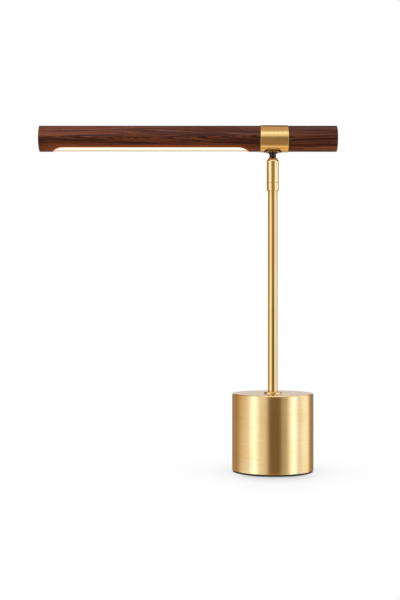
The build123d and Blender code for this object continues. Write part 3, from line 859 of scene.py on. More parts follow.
@dataclass
class StemAndSwivel:
    """The brass stem in its foot ring, and the swivel with its ring, barrel and black ball stud.

    Attributes:
        around: Number of points round each brass piece.
        stem_bore: Radius of the stem's bore.
        slim: How much the stem's radius is less than the solid's.
        ring_gap: Gap between the foot ring and the stem.
        ring_lift: How far the foot ring stands above the solid's top, as the drum does.
        ring_chamfer: Size of the swivel ring's lower chamfer.
        ring_bore: Radius of the swivel ring's upper bore.
        seam: Size of the small chamfers at the hairline seam.
        spigot: Radius of the swivel ring's threaded spigot.
        spigot_rise: Height of the spigot.
        spigot_gap: Gap between the spigot and the barrel.
        spigot_head: Room above the spigot.
        nipple_grip: Depth of the swivel ring's lower bore.
        shoulder: Height of the barrel's conical shoulder.
        shoulder_round: Rounding at the foot of the shoulder.
        rim: Radius of the barrel's mouth outside.
        ball: Radius of the ball.
        ball_gap: Gap between the ball and its seat.
        ball_drop: How far the ball's centre lies below the mouth.
        barrel_bore: Radius of the barrel's bore.
        neck: Radius of the stud's neck.
        flare: Radius of the stud's flare.
        flare_height: Height of the flare.
        flare_lip: Height of the flare's straight rim.
        flare_bend: Power by which the flare widens upwards.
        flare_gap: Gap between the flare and the saddle flange.
        stud: Radius of the stud above the flare.
        stud_bore: Radius of the hole for the lead.
        stud_bell: Radius of that hole's mouth in the ball.
    """

    around: int = 128
    stem_bore: float = 5.05 * MM
    slim: float = 0.25 * MM
    ring_gap: float = 0.1 * MM
    ring_lift: float = 1.0 * MM
    ring_chamfer: float = 0.8 * MM
    ring_bore: float = 3.5 * MM
    seam: float = 0.4 * MM
    spigot: float = 7.2 * MM
    spigot_rise: float = 18.0 * MM
    spigot_gap: float = 0.05 * MM
    spigot_head: float = 0.5 * MM
    nipple_grip: float = 9.0 * MM
    shoulder: float = 4.3 * MM
    shoulder_round: float = 4.5 * MM
    rim: float = 5.8 * MM
    ball: float = 6.2 * MM
    ball_gap: float = 0.08 * MM
    ball_drop: float = 2.95 * MM
    barrel_bore: float = 6.4 * MM
    neck: float = 4.8 * MM
    flare: float = 7.5 * MM
    flare_height: float = 4.6 * MM
    flare_lip: float = 0.4 * MM
    flare_bend: float = 1.9
    flare_gap: float = 0.1 * MM
    stud: float = 4.0 * MM
    stud_bore: float = 1.7 * MM
    stud_bell: float = 3.4 * MM

    def foot_ring(self, brass: Material) -> None:
        """Make the ring round the stem's foot with a round upper edge.

        Args:
            brass: Its finish.
        """
        low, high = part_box("foot_ring")
        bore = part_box("stem_tube")[1].x - self.slim + self.ring_gap
        corners = [
            (bore, low.z, 0.0),
            (high.x, low.z, 0.1 * MM),
            (high.x, high.z + self.ring_lift, 1.1 * MM),
            (bore, high.z + self.ring_lift, 0.15 * MM),
        ]
        profile = rounded_profile([*corners, corners[0]], 9)[:-1]
        piece = turned(profile, self.around).build("stem_foot_ring", brass)
        present(piece, Body.BASE, "foot_ring", slot="satin_brass")

    def stem(self, brass: Material) -> None:
        """Make the stem as a turned tube.

        Args:
            brass: Its finish.
        """
        low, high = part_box("stem_tube")
        corners = [
            (self.stem_bore, low.z, 0.0),
            (high.x - self.slim, low.z, 0.0),
            (high.x - self.slim, high.z, 0.3 * MM),
            (self.stem_bore, high.z, 0.0),
        ]
        piece = turned(closed_outline(corners, 12 * MM), self.around).build("brass_stem", brass)
        present(piece, Body.BASE, "stem_tube", slot="satin_brass")

    def swivel_ring(self, brass: Material) -> None:
        """Make the threaded ring below the barrel, with a broad lower chamfer and a hairline at the seam.

        Args:
            brass: Its finish.
        """
        low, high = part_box("swivel_ring")
        seam = high.z - self.spigot_rise
        corners = [
            (self.stem_bore, low.z, 0.0),
            (high.x - self.ring_chamfer, low.z, 0.25 * MM),
            (high.x, low.z + self.ring_chamfer, 0.35 * MM),
            (high.x, seam - self.seam, 0.1 * MM),
            (high.x - self.seam, seam, 0.0),
            (self.spigot, seam, 0.0),
            (self.spigot, high.z, 0.0),
            (self.ring_bore, high.z, 0.0),
            (self.ring_bore, low.z + self.nipple_grip, 0.0),
            (self.stem_bore, low.z + self.nipple_grip, 0.0),
        ]
        piece = turned(closed_outline(corners, 4 * MM), self.around).build("swivel_ring_turned", brass)
        present(piece, Body.BASE, "swivel_ring", slot="satin_brass")

    def barrel(self, brass: Material) -> None:
        """Make the barrel with its conical shoulder, its mouth round the ball and the ball's upper seat.

        The seat is an arc of radius s about the ball's centre, (s cos t, s sin t), from its level to the mouth.

        Args:
            brass: Its finish.
        """
        low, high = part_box("swivel_barrel")
        ball_level = high.z - self.ball_drop
        seat = self.ball + self.ball_gap
        mouth = math.sqrt(seat**2 - self.ball_drop**2)
        angle = np.linspace(0.0, math.atan2(self.ball_drop, mouth), 9)[1:-1]
        arc = np.stack([seat * np.cos(angle), ball_level + seat * np.sin(angle), np.zeros_like(angle)], axis=1)
        thread = low.z + self.spigot_rise + self.spigot_head
        corners = [
            (mouth, high.z, 0.0),
            (self.rim, high.z, 0.3 * MM),
            (high.x, high.z - self.shoulder, self.shoulder_round),
            (high.x, low.z + self.seam, 0.1 * MM),
            (high.x - self.seam, low.z, 0.0),
            (self.spigot + self.spigot_gap, low.z, 0.0),
            (self.spigot + self.spigot_gap, thread, 0.0),
            (self.barrel_bore, thread, 0.0),
            (self.barrel_bore, ball_level, 0.0),
            (seat, ball_level, 0.0),
            *[tuple(point) for point in arc],
        ]
        piece = turned(closed_outline(corners, 4 * MM), self.around).build("swivel_barrel_turned", brass)
        present(piece, Body.BASE, "swivel_barrel", slot="satin_brass")

    def ball_stud(self, steel: Material) -> None:
        """Make the black stud: a ball, a short neck and a flare, with the hollow stud above.

        The flare's radius at the share s of its height is neck + (flare - neck) * s^bend.

        Args:
            steel: Its finish.
        """
        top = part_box("ball_stud")[1].z
        ball_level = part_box("swivel_barrel")[1].z - self.ball_drop
        flare_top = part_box("saddle_bush")[0].z - self.flare_gap
        start, end = -math.acos(self.stud_bell / self.ball), math.acos(self.neck / self.ball)
        angle = np.linspace(start, end, 26)
        ball = np.stack([self.ball * np.cos(angle), ball_level + self.ball * np.sin(angle)], axis=1)
        share = np.linspace(0.0, 1.0, 14)
        out = self.neck + (self.flare - self.neck) * share**self.flare_bend
        height = flare_top - self.flare_height + (self.flare_height - self.flare_lip) * share
        flare = np.stack([out, height], axis=1)
        rest = np.array(
            [
                (self.flare, flare_top),
                (self.stud, flare_top),
                (self.stud, top),
                (self.stud_bore, top),
                (self.stud_bore, ball_level),
            ]
        )
        piece = turned(np.concatenate([ball, flare, rest]), 96).build("black_ball_stud", steel)
        present(piece, Body.STUD, "ball_stud", slot="black_steel")


@dataclass
class TubeHead:
    """The wooden tube with its brass collar, saddle flange and light slot.

    Attributes:
        around: Number of points round the tube and the collar.
        end_round: Rounding of the tube's ends.
        slot_width: Width of the light slot.
        slot_nose: Length of each of its elliptical ends.
        slot_to_collar: Wood between the slot and the collar.
        slot_end_wall: Wood between the slot and the long arm's end.
        slot_glow: Distance over which the painted glow fades on the slot's rim.
        ledge_drop: Depth of the slot's inner ledge below the tube's axis.
        ledge_width: Width of that ledge.
        pocket_rise: Height of the pocket's roof above the axis.
        flange_thickness: Thickness of the saddle flange.
        dish: How far the flange's underside bulges down.
        crown: Height of the flange's bevelled upper part.
        crown_width: Width of that bevel.
        crown_shade_ring: Width of the ring of painted shade on the bevel, for the shadow in the gap under the
            collar.
        plate_shade_ring: Width of the ring of painted shade on the flange's plate.
        saddle_bore: Radius of the saddle bush's bore.
        shank: Radius of its shank in the wood.
        spot_radius: Radius of the flat that the flange sits on.
        hole_radius: Radius of the shank's hole.
        collar_wall: Thickness of the collar.
        collar_gap: Gap between the collar and the tube.
        collar_ease: Rounding of the collar's ends.
        collar_trim: How much the collar's short end stops before the solid's.
        lens_gap: Gap between the lens and the slot.
        lens_recess: How far the lens lies inside the tube's surface.
        lens_wall: Thickness of the lens.
    """

    around: int = 161
    end_round: float = 1.2 * MM
    slot_width: float = 25.0 * MM
    slot_nose: float = 16.5 * MM
    slot_to_collar: float = 16.3 * MM
    slot_end_wall: float = 19.4 * MM
    slot_glow: float = 1.3 * MM
    ledge_drop: float = 9.0 * MM
    ledge_width: float = 2.2 * MM
    pocket_rise: float = 6.0 * MM
    flange_thickness: float = 2.1 * MM
    dish: float = 0.5 * MM
    crown: float = 0.95 * MM
    crown_width: float = 2.4 * MM
    crown_shade_ring: float = 1.1 * MM
    plate_shade_ring: float = 0.4 * MM
    saddle_bore: float = 4.05 * MM
    shank: float = 8.0 * MM
    spot_radius: float = 14.2 * MM
    hole_radius: float = 8.1 * MM
    collar_wall: float = 0.8 * MM
    collar_gap: float = 0.05 * MM
    collar_ease: float = 0.5 * MM
    collar_trim: float = 0.7 * MM
    lens_gap: float = 0.2 * MM
    lens_recess: float = 0.6 * MM
    lens_wall: float = 2.0 * MM

    left: float = field(init=False)
    right: float = field(init=False)
    level: float = field(init=False)
    radius: float = field(init=False)
    collar_left: float = field(init=False)
    collar_right: float = field(init=False)
    slot_left: float = field(init=False)
    slot_right: float = field(init=False)
    spot_level: float = field(init=False)
    flange_radius: float = field(init=False)

    def __post_init__(self) -> None:
        """Read the places of the tube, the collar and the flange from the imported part."""
        low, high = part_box("wood_rod")
        collar_low, collar_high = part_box("head_collar")
        flange_low, flange_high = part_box("saddle_bush")
        self.left, self.right = low.x, high.x
        self.level = 0.5 * (low.z + high.z)
        self.radius = 0.5 * (high.z - low.z)
        self.collar_left, self.collar_right = collar_low.x, collar_high.x - self.collar_trim
        self.slot_left = self.left + self.slot_end_wall
        self.slot_right = self.collar_left - self.slot_to_collar
        self.spot_level = flange_low.z + self.flange_thickness
        self.flange_radius = flange_high.x

    @staticmethod
    def half_width(x: np.ndarray, left: float, right: float, half: float, nose: float) -> np.ndarray:
        """Half the width at x of a slot with elliptical ends.

        It is half between the middles of the two ellipses, and half * sqrt(1 - (step / nose)^2) beyond them.

        Args:
            x: Places along the slot.
            left: Its left end.
            right: Its right end.
            half: Half its full width.
            nose: Length of each ellipse.

        Returns:
            Half the width at each place.
        """
        step = np.maximum(0.0, np.maximum(left + nose - x, x - (right - nose)))
        return half * np.sqrt(np.maximum(0.0, 1.0 - (step / nose) ** 2))

    @staticmethod
    def stations(left: float, right: float, nose: float, middle: int) -> np.ndarray:
        """Places along a slot, close together where its ends curve.

        Args:
            left: Its left end.
            right: Its right end.
            nose: Length of each curved end.
            middle: Number of places between the ends.

        Returns:
            The places in order.
        """
        turn = np.linspace(0.0, math.pi / 2, 25)
        start = left + nose - nose * np.cos(turn)
        end = right - nose + nose * np.sin(turn)
        return np.unique(np.concatenate([start, np.linspace(start[-1], end[0], middle), end]).round(9))

    def slot_half(self, x: np.ndarray) -> np.ndarray:
        """Half the width of the light slot at x."""
        return self.half_width(x, self.slot_left, self.slot_right, self.slot_width / 2, self.slot_nose)

    def saddle_opening(self, x: np.ndarray, radius: float) -> np.ndarray:
        """Half the width at x of the opening that the saddle bush leaves in a round bar.

        The flat at the flange's top cuts the bar over sqrt(radius^2 - drop^2) to each side, no further than the
        flat's own circle, and the shank's hole is cut wherever it is wider.

        Args:
            x: Places along the bar.
            radius: The bar's radius.

        Returns:
            Half the width at each place.
        """
        drop = self.level - self.spot_level
        flat = math.sqrt(max(0.0, radius**2 - drop**2))
        spot = np.minimum(np.sqrt(np.maximum(0.0, self.spot_radius**2 - x**2)), flat)
        hole = np.sqrt(np.maximum(0.0, self.hole_radius**2 - x**2))
        return np.maximum(spot, hole)

    def spot_stations(self) -> np.ndarray:
        """Choose places along the saddle bush's opening: its round ends, and the shank's hole between them.

        Returns:
            The places in order.
        """
        hole = self.stations(-self.hole_radius, self.hole_radius, self.hole_radius, 2)
        end = self.spot_radius * np.cos(np.linspace(0.0, math.pi / 2, 13)[:-1])
        side = end[end > self.hole_radius]
        return np.unique(np.concatenate([-side, hole, side]).round(9))

    def on_tube(self, x: np.ndarray, y: np.ndarray, radius: float) -> np.ndarray:
        """Points on the underside of a round bar: z is the axis level less sqrt(radius^2 - y^2)."""
        return np.stack([x, y, self.level - np.sqrt(np.maximum(0.0, radius**2 - y**2))], axis=-1)

    @staticmethod
    def outline(stations: np.ndarray, half: np.ndarray) -> tuple[np.ndarray, np.ndarray]:
        """Give the x and y of a slot's closed outline, along its front edge and back along its rear edge."""
        return np.concatenate([stations, stations[-2:0:-1]]), np.concatenate([-half, half[-2:0:-1]])

    @staticmethod
    def pocket(surface: SurfaceMesh, rings: Sequence[np.ndarray], glow: Sequence[float]) -> None:
        """Add the walls of a pocket from rings of points, and close its end by a strip from side to side.

        Args:
            surface: The surface that it is added to.
            rings: The rings, from the mouth to the roof.
            glow: Value of the painted_slot_glow attribute on each ring.
        """
        surface.grid(np.stack(rings), wrap=True, edge_value=np.array(glow)[:, None])
        last = rings[-1]
        count = len(last) // 2 + 1
        surface.grid(np.stack([last[:count], np.concatenate([last[:1], last[: count - 2 : -1]])]))

    def shell(self, stations: np.ndarray, radius: np.ndarray, opening: np.ndarray) -> np.ndarray:
        """Grid of a round bar's surface round its open side.

        The angle t runs from the front edge of the opening over the top to its rear edge, where an opening of half
        width w takes asin(w / radius) from each end. A point is (x, -r sin t, level - r cos t).

        Args:
            stations: x of each row.
            radius: Radius at each row.
            opening: Half width of the opening at each row.

        Returns:
            The grid of points.
        """
        cut = np.arcsin(np.clip(opening / np.maximum(radius, 1e-9), 0.0, 1.0))
        share = np.linspace(0.0, 1.0, self.around)
        angle = cut[:, None] + share * (2 * math.pi - 2 * cut[:, None])
        along = np.repeat(stations[:, None], self.around, axis=1)
        out = radius[:, None]
        return np.stack([along, -out * np.sin(angle), self.level - out * np.cos(angle)], axis=-1)

    def bar(self, surface: SurfaceMesh, slot: np.ndarray, spot: np.ndarray) -> None:
        """Add the wooden tube's outside, with a quarter round at each end and its openings left free.

        A painted glow of the lens's light lies on the slot's rim and fades as exp(-distance / glow) round the tube.

        Args:
            surface: The surface that it is added to.
            slot: Places along the light slot.
            spot: Places along the saddle bush's opening.
        """
        turn = np.linspace(0.0, math.pi / 2, 8)
        end = self.end_round * (1 - np.cos(turn))
        end_r = np.concatenate([[0.0], self.radius - self.end_round * (1 - np.sin(turn))])
        left_x = np.concatenate([[self.left], self.left + end])
        right_x = np.concatenate([self.right - end[::-1], [self.right]])
        start = np.linspace(self.left + self.end_round, self.slot_left, 8)[1:-1]
        between = np.linspace(self.slot_right, spot[0], 12)[1:-1]
        beyond = np.linspace(spot[-1], self.right - self.end_round, 24)[1:-1]
        x = np.concatenate([left_x, start, slot, between, spot, beyond, right_x])
        r = np.concatenate([end_r, np.full(len(x) - 2 * len(end_r), self.radius), end_r[::-1]])
        in_slot = (x >= self.slot_left - 1e-9) & (x <= self.slot_right + 1e-9)
        opening = np.where(in_slot, self.slot_half(x), self.saddle_opening(x, self.radius))
        share = np.linspace(0.0, 1.0, self.around)
        distance = np.minimum(share, 1.0 - share)[None, :] * 2 * math.pi * self.radius
        lit = in_slot[:, None] & (opening[:, None] > 2 * MM)
        rim = np.where(lit, np.exp(-distance / self.slot_glow), 0.0)
        surface.grid(self.shell(x, r, opening), edge_value=rim)

    def light_slot(self, surface: SurfaceMesh, slot: np.ndarray) -> None:
        """Add the light slot: its walls up to the ledge, the ledge, and the narrower pocket above.

        Args:
            surface: The surface that it is added to.
            slot: Places along the slot.
        """
        ox, oy = self.outline(slot, self.slot_half(slot))
        centre = np.clip(ox, self.slot_left + self.slot_nose, self.slot_right - self.slot_nose)
        ix = centre + (ox - centre) * (1 - self.ledge_width / self.slot_nose)
        iy = oy * (1 - self.ledge_width / (self.slot_width / 2))
        ledge = self.level - self.ledge_drop
        rings = [
            self.on_tube(ox, oy, self.radius),
            level_line(ox, oy, ledge),
            level_line(ix, iy, ledge),
            level_line(ix, iy, self.level + self.pocket_rise),
        ]
        self.pocket(surface, rings, [1.0, 0.25, 0.0, 0.0])

    def saddle_seat(self, surface: SurfaceMesh, spot: np.ndarray) -> None:
        """Add the flat that the saddle flange sits on, and the hole for its shank.

        Args:
            surface: The surface that it is added to.
            spot: Places along the opening.
        """
        ox, oy = self.outline(spot, self.saddle_opening(spot, self.radius))
        shrink = self.hole_radius / np.maximum(np.hypot(ox, oy), 1e-9)
        edge = self.on_tube(ox, oy, self.radius)
        flat = np.maximum(edge[:, 2], self.spot_level)
        rings = [
            edge,
            level_line(ox, oy, flat),
            level_line(ox * shrink, oy * shrink, flat),
            level_line(ox * shrink, oy * shrink, self.level + self.pocket_rise),
        ]
        self.pocket(surface, rings, [0.0, 0.0, 0.0, 0.0])

    def wood(self, finish: Material) -> None:
        """Make the wooden tube: a round bar with softened ends, the light slot and the seat for the saddle bush.

        Args:
            finish: Its finish.
        """
        surface = SurfaceMesh()
        slot = self.stations(self.slot_left, self.slot_right, self.slot_nose, 120)
        spot = self.spot_stations()
        self.bar(surface, slot, spot)
        self.light_slot(surface, slot)
        self.saddle_seat(surface, spot)
        piece = surface.build("wooden_tube", finish, sharp=40.0, painted_slot_glow=True)
        present(piece, Body.HEAD, "wood_rod", slot="dark_wood")

    def collar(self, brass: Material) -> None:
        """Make the collar: a thin sleeve with softened ends and a round opening below for the saddle flange.

        Args:
            brass: Its finish.
        """
        inner = self.radius + self.collar_gap
        outer = inner + self.collar_wall
        ease = self.collar_ease
        turn = np.linspace(0.0, math.pi / 2, 6)
        step, drop = ease * (1 - np.cos(turn)), ease * (1 - np.sin(turn))
        hole = self.spot_stations()
        first = np.linspace(self.collar_left + ease, hole[0], 8)[1:-1]
        last = np.linspace(hole[-1], self.collar_right - ease, 8)[1:-1]
        body = np.concatenate([first, hole, last])
        out_x = np.concatenate([self.collar_left + step, body, self.collar_right - step[::-1]])
        out_r = np.concatenate([outer - drop, np.full(len(body), outer), outer - drop[::-1]])
        in_x = np.concatenate([[self.collar_left], body, [self.collar_right]])
        in_r = np.full(len(in_x), inner)
        surface = SurfaceMesh()
        outside = self.shell(out_x, out_r, self.saddle_opening(out_x, outer))
        inside = self.shell(in_x, in_r, self.saddle_opening(in_x, inner))
        surface.grid(outside)
        surface.grid(inside, flip=True)
        surface.grid(np.stack([outside[0], inside[0]]))
        surface.grid(np.stack([outside[-1], inside[-1]]))
        ox, oy = self.outline(hole, self.saddle_opening(hole, outer))
        ix, iy = self.outline(hole, self.saddle_opening(hole, inner))
        surface.grid(np.stack([self.on_tube(ox, oy, outer), self.on_tube(ix, iy, inner)]), wrap=True)
        piece = surface.build("brass_collar", brass, sharp=40.0)
        present(piece, Body.HEAD, "head_collar", slot="satin_brass")

    def saddle(self, crown_lit_brass: Material, plate_shaded_brass: Material) -> None:
        """Make the saddle bush of two turned pieces that meet inside the flange.

        The crown is the bevelled upper part with the shank, in a paler copy of the brass: a painted light, so
        that its reflection in the collar above it looks lit. The plate below it is a darker copy, a painted shade
        under the collar, with a dark rim and an underside that bulges a little. Both have a ring of painted shade
        at the rim, for the shadow in the gap under the collar.

        Args:
            crown_lit_brass: Brass of the crown, a paler copy for painted light.
            plate_shaded_brass: Brass of the plate, a darker copy for painted shade.
        """
        low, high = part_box("saddle_bush")
        join = self.spot_level - self.crown
        crown = [
            (self.saddle_bore, join, 0.0),
            (high.x - 0.2 * MM, join, 0.0),
            (high.x - self.crown_width, self.spot_level, 0.5 * MM),
            (self.shank, self.spot_level, 0.0),
            (self.shank, high.z, 0.0),
            (self.saddle_bore, high.z, 0.0),
        ]
        plate = [
            (self.saddle_bore, low.z, 0.0),
            (self.shank, low.z, 0.0),
            (self.shank + 1.0 * MM, low.z - self.dish, 0.5 * MM),
            (high.x - 0.8 * MM, low.z - self.dish, 0.5 * MM),
            (high.x, low.z + 0.1 * MM, 0.2 * MM),
            (high.x, join, 0.15 * MM),
            (self.saddle_bore, join, 0.0),
        ]
        upper = turned(closed_outline(crown, 3 * MM), 144).build("saddle_crown", crown_lit_brass)
        present(upper, Body.HEAD, "saddle_bush", slot="satin_brass")
        lower = turned(closed_outline(plate, 3 * MM), 144).build("saddle_plate", plate_shaded_brass)
        present(lower, Body.HEAD, slot="satin_brass")

    def lens_sheet(self, inset: float) -> list[np.ndarray]:
        """Work out one side of the lens, which follows the tube's curve a little inside it.

        Args:
            inset: How far the side lies inside the lens's outer side.

        Returns:
            The curved grid, its outline on the curve, and its outline at the ledge's height.
        """
        left, right = self.slot_left + self.lens_gap + inset, self.slot_right - self.lens_gap - inset
        half = self.slot_width / 2 - self.lens_gap - inset
        nose = self.slot_nose - self.lens_gap - inset
        bow = self.radius - self.lens_recess - inset
        x = self.stations(left, right, nose, 100)
        width = self.half_width(x, left, right, half, nose)
        across = np.sin(np.linspace(-math.pi / 2, math.pi / 2, 33))
        curved = self.on_tube(np.repeat(x[:, None], len(across), axis=1), width[:, None] * across, bow)
        ox, oy = self.outline(x, width)
        return [curved, self.on_tube(ox, oy, bow), level_line(ox, oy, self.level - self.ledge_drop)]

    def lens(self, opal: Material) -> None:
        """Make the lens: a curved shell with round ends.

        Args:
            opal: Its finish.
        """
        surface = SurfaceMesh()
        outer, outer_line, outer_top = self.lens_sheet(0.0)
        inner, inner_line, inner_top = self.lens_sheet(self.lens_wall)
        surface.grid(outer)
        surface.grid(inner, flip=True)
        surface.grid(np.stack([outer_line, outer_top, inner_top, inner_line]), wrap=True)
        piece = surface.build("opal_lens_shell", opal, sharp=40.0)
        present(piece, Body.HEAD, "lens", slot="opal_lens")


class InnerFittings:
    """The fittings inside the drum, the stem and the tube, which keep their CAD shapes and get their finishes."""

    finishes: dict[str, GrainedFinish | BoardFinish] = {
        "zinc_steel": GrainedFinish(srgb(196, 196, 190), srgb(158, 156, 148), 0.36, 1.0, 1800.0, 0.00001),
        "grey_iron": GrainedFinish(srgb(74, 74, 76), srgb(50, 50, 53), 0.72, 0.6, 700.0, 0.00012),
        "black_plastic": GrainedFinish(srgb(30, 30, 31), srgb(20, 20, 21), 0.48, 0.0, 2600.0, 0.00002),
        "black_rubber": GrainedFinish(srgb(24, 23, 23), srgb(15, 15, 15), 0.8, 0.0, 3000.0, 0.00003),
        "circuit_board": BoardFinish(),
        "spring_bronze": GrainedFinish(srgb(190, 132, 78), srgb(160, 104, 58), 0.3, 1.0, 2200.0, 0.00001),
        "white_nylon": GrainedFinish(srgb(226, 222, 210), srgb(208, 203, 190), 0.55, 0.0, 2400.0, 0.00001),
        "plain_aluminium": GrainedFinish(srgb(208, 209, 211), srgb(184, 186, 189), 0.4, 1.0, 2000.0, 0.00001),
        "light_chip": GrainedFinish(srgb(246, 224, 150), srgb(236, 206, 120), 0.45, 0.0, 4000.0, 0.00001),
        "lead_sleeve": GrainedFinish(srgb(214, 210, 200), srgb(196, 190, 178), 0.5, 0.0, 2600.0, 0.00001),
        "black_steel": GrainedFinish(srgb(70, 58, 42), srgb(54, 45, 34), 0.18, 1.0, 2400.0, 0.000002),
    }

    def __init__(self) -> None:
        """Make the material of each of the record's material slots that the fittings use."""
        self.made = {name: finish.material(name + "_finish") for name, finish in self.finishes.items()}

    def dress(self) -> None:
        """Put the materials on the CAD nodes by the names of the material slots they come with in model.glb."""
        for name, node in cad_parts.items():
            for slot in node.material_slots:
                key = slot.material.name.split(".")[0]
                if key in self.made:
                    slot.material = self.made[key]
                    log.info("%s has its %s", name, slot.material.name)


@dataclass(frozen=True)
class SoftPanel:
    """A light box, or a grey or dark flag, that stands in front of the white background and shows in the brass.

    Attributes:
        azimuth: Direction of its middle in degrees, 0 towards the camera and positive to the right.
        elevation: Height of its middle in degrees.
        width: Width in degrees.
        height: Height in degrees.
        soft: Width of its soft edge in degrees.
        colour: Its colour, where the white background is 1.
    """

    azimuth: float
    elevation: float
    width: float
    height: float
    soft: float
    colour: Point


@dataclass
class Studio:
    """A white table and backdrop, soft panels, and the camera at the photograph's place.

    Attributes:
        camera_place: Place of the camera.
        focal_length: Its focal length in millimetres, on a sensor 36 mm wide.
        floor_half: Half the width of the table.
        shadow_reach: How far the shadow on the table looks for what stands there.
        front_shadow: Weight of the shadow in front of the drum.
        side_shadow: Weight of the shadow elsewhere.
        panels: The panels, each standing in front of those before it.
    """

    camera_place: Point = (-0.1065, -1.831, 0.2507)
    focal_length: float = 112.5
    floor_half: float = 6.0
    shadow_reach: float = 0.2
    front_shadow: float = 1.8
    side_shadow: float = 0.56

    panels: tuple[SoftPanel, ...] = (
        SoftPanel(-140, 0, 100, 130, 50, (0.42, 0.32, 0.24)),
        SoftPanel(145, 0, 46, 130, 24, (0.34, 0.26, 0.18)),
        SoftPanel(180, 16, 34, 34, 10, (0.78, 0.77, 0.76)),
        SoftPanel(-98, 0, 40, 110, 22, (0.63, 0.47, 0.26)),
        SoftPanel(-32, 0, 26, 70, 14, (0.93, 0.99, 1.12)),
        SoftPanel(0, -76, 170, 44, 20, (1.05, 1.20, 1.50)),
        SoftPanel(0, -54, 50, 30, 14, (0.40, 0.25, 0.13)),
        SoftPanel(0, -96, 36, 42, 14, (1.25, 0.95, 0.42)),
        SoftPanel(4, -22, 46, 70, 20, (0.33, 0.23, 0.13)),
        SoftPanel(3, 10, 60, 8, 5, (0.40, 0.31, 0.15)),
        SoftPanel(3, -5, 34, 12, 6, (0.18, 0.135, 0.09)),
        SoftPanel(31, 0, 16, 60, 14, (0.51, 0.53, 0.55)),
        SoftPanel(-57, 0, 21, 90, 20, (1.55, 2.0, 2.9)),
        SoftPanel(76, 0, 22, 90, 14, (0.90, 1.05, 1.45)),
        SoftPanel(58, 0, 20, 90, 18, (1.5, 2.0, 2.9)),
        SoftPanel(100, 0, 30, 90, 14, (1.20, 1.38, 1.72)),
        SoftPanel(0, 44, 110, 20, 14, (1.35, 1.55, 1.75)),
        SoftPanel(0, 85, 90, 52, 14, (0.62, 0.50, 0.38)),
        SoftPanel(180, 52, 110, 24, 12, (0.17, 0.11, 0.07)),
        SoftPanel(180, 27, 100, 15, 8, (0.04, 0.026, 0.014)),
    )

    def camera(self) -> None:
        """Set up the camera, level and looking straight to the back."""
        data = bpy.data.cameras.new("photo_camera")
        data.sensor_fit = "HORIZONTAL"
        data.sensor_width = 36.0
        data.lens = self.focal_length
        data.clip_start = 0.05
        data.clip_end = 50.0
        holder = bpy.data.objects.new("photo_camera", data)
        holder.location = self.camera_place
        holder.rotation_euler = (math.radians(90), 0.0, 0.0)
        bpy.context.scene.collection.objects.link(holder)
        bpy.context.scene.camera = holder

    @staticmethod
    def rays(tree: ShaderTree) -> tuple[Value, Value]:
        """Tell apart the kinds of rays that meet the table and the background.

        Args:
            tree: The tree that asks.

        Returns:
            1 for a ray of the camera or through glass, which sees plain white, and 1 for a glossy ray.
        """
        path = tree.node("ShaderNodeLightPath")
        seen = tree.math("MAXIMUM", tree.out(path, "Is Camera Ray"), tree.out(path, "Is Transmission Ray"))
        return seen, tree.out(path, "Is Glossy Ray")

    @staticmethod
    def panel_share(tree: ShaderTree, direction: Value, panel: SoftPanel) -> Value:
        """How much one panel covers in a direction.

        With the panel's own axes, ahead, right and up, the angles beside and above its middle are
        atan2(d.right, d.ahead) and asin(d.up). Its mask falls smoothly at half its width and half its height.

        Args:
            tree: The world's tree.
            direction: The direction looked in.
            panel: The panel.

        Returns:
            1 inside the panel, and 0 outside it.
        """
        side, lift = math.radians(panel.azimuth), math.radians(panel.elevation)
        ahead = (math.sin(side) * math.cos(lift), -math.cos(side) * math.cos(lift), math.sin(lift))
        right = (math.cos(side), math.sin(side), 0.0)
        above = (-math.sin(side) * math.sin(lift), math.cos(side) * math.sin(lift), math.cos(lift))

        def part(axis: Point) -> Value:
            """Share of the direction along an axis."""
            made = tree.node("ShaderNodeVectorMath", {"operation": "DOT_PRODUCT"}, {0: direction, 1: axis})
            return tree.out(made, "Value")

        def inside(angle: Value, size: float) -> Value:
            """Share of a panel of this size in degrees at an angle from its middle."""
            off = tree.math("ABSOLUTE", angle) * (180 / math.pi)
            return tree.smooth(off, size / 2 - panel.soft / 2, size / 2 + panel.soft / 2, 1.0, 0.0)

        beside = tree.math("ARCTAN2", part(right), part(ahead))
        return inside(beside, panel.width) * inside(tree.math("ARCSINE", part(above)), panel.height)

    def world(self) -> None:
        """Make the world: a white background, with light boxes and flags in front of it that only the lamp sees."""
        world = bpy.data.worlds.new("studio")
        bpy.context.scene.world = world
        world.use_nodes = True
        tree = ShaderTree(world.node_tree)
        direction = tree.out(tree.node("ShaderNodeTexCoord"), "Generated")
        white = (1.0, 1.0, 1.0, 1.0)
        light: Value | Colour = white
        for panel in self.panels:
            light = tree.mix(self.panel_share(tree, direction, panel), light, (*panel.colour, 1.0))
        seen, _ = self.rays(tree)
        shown = tree.mix(seen, light, white)
        background = tree.node("ShaderNodeBackground", inputs={"Color": shown, "Strength": 1.0})
        tree.node("ShaderNodeOutputWorld", inputs={"Surface": tree.out(background)})

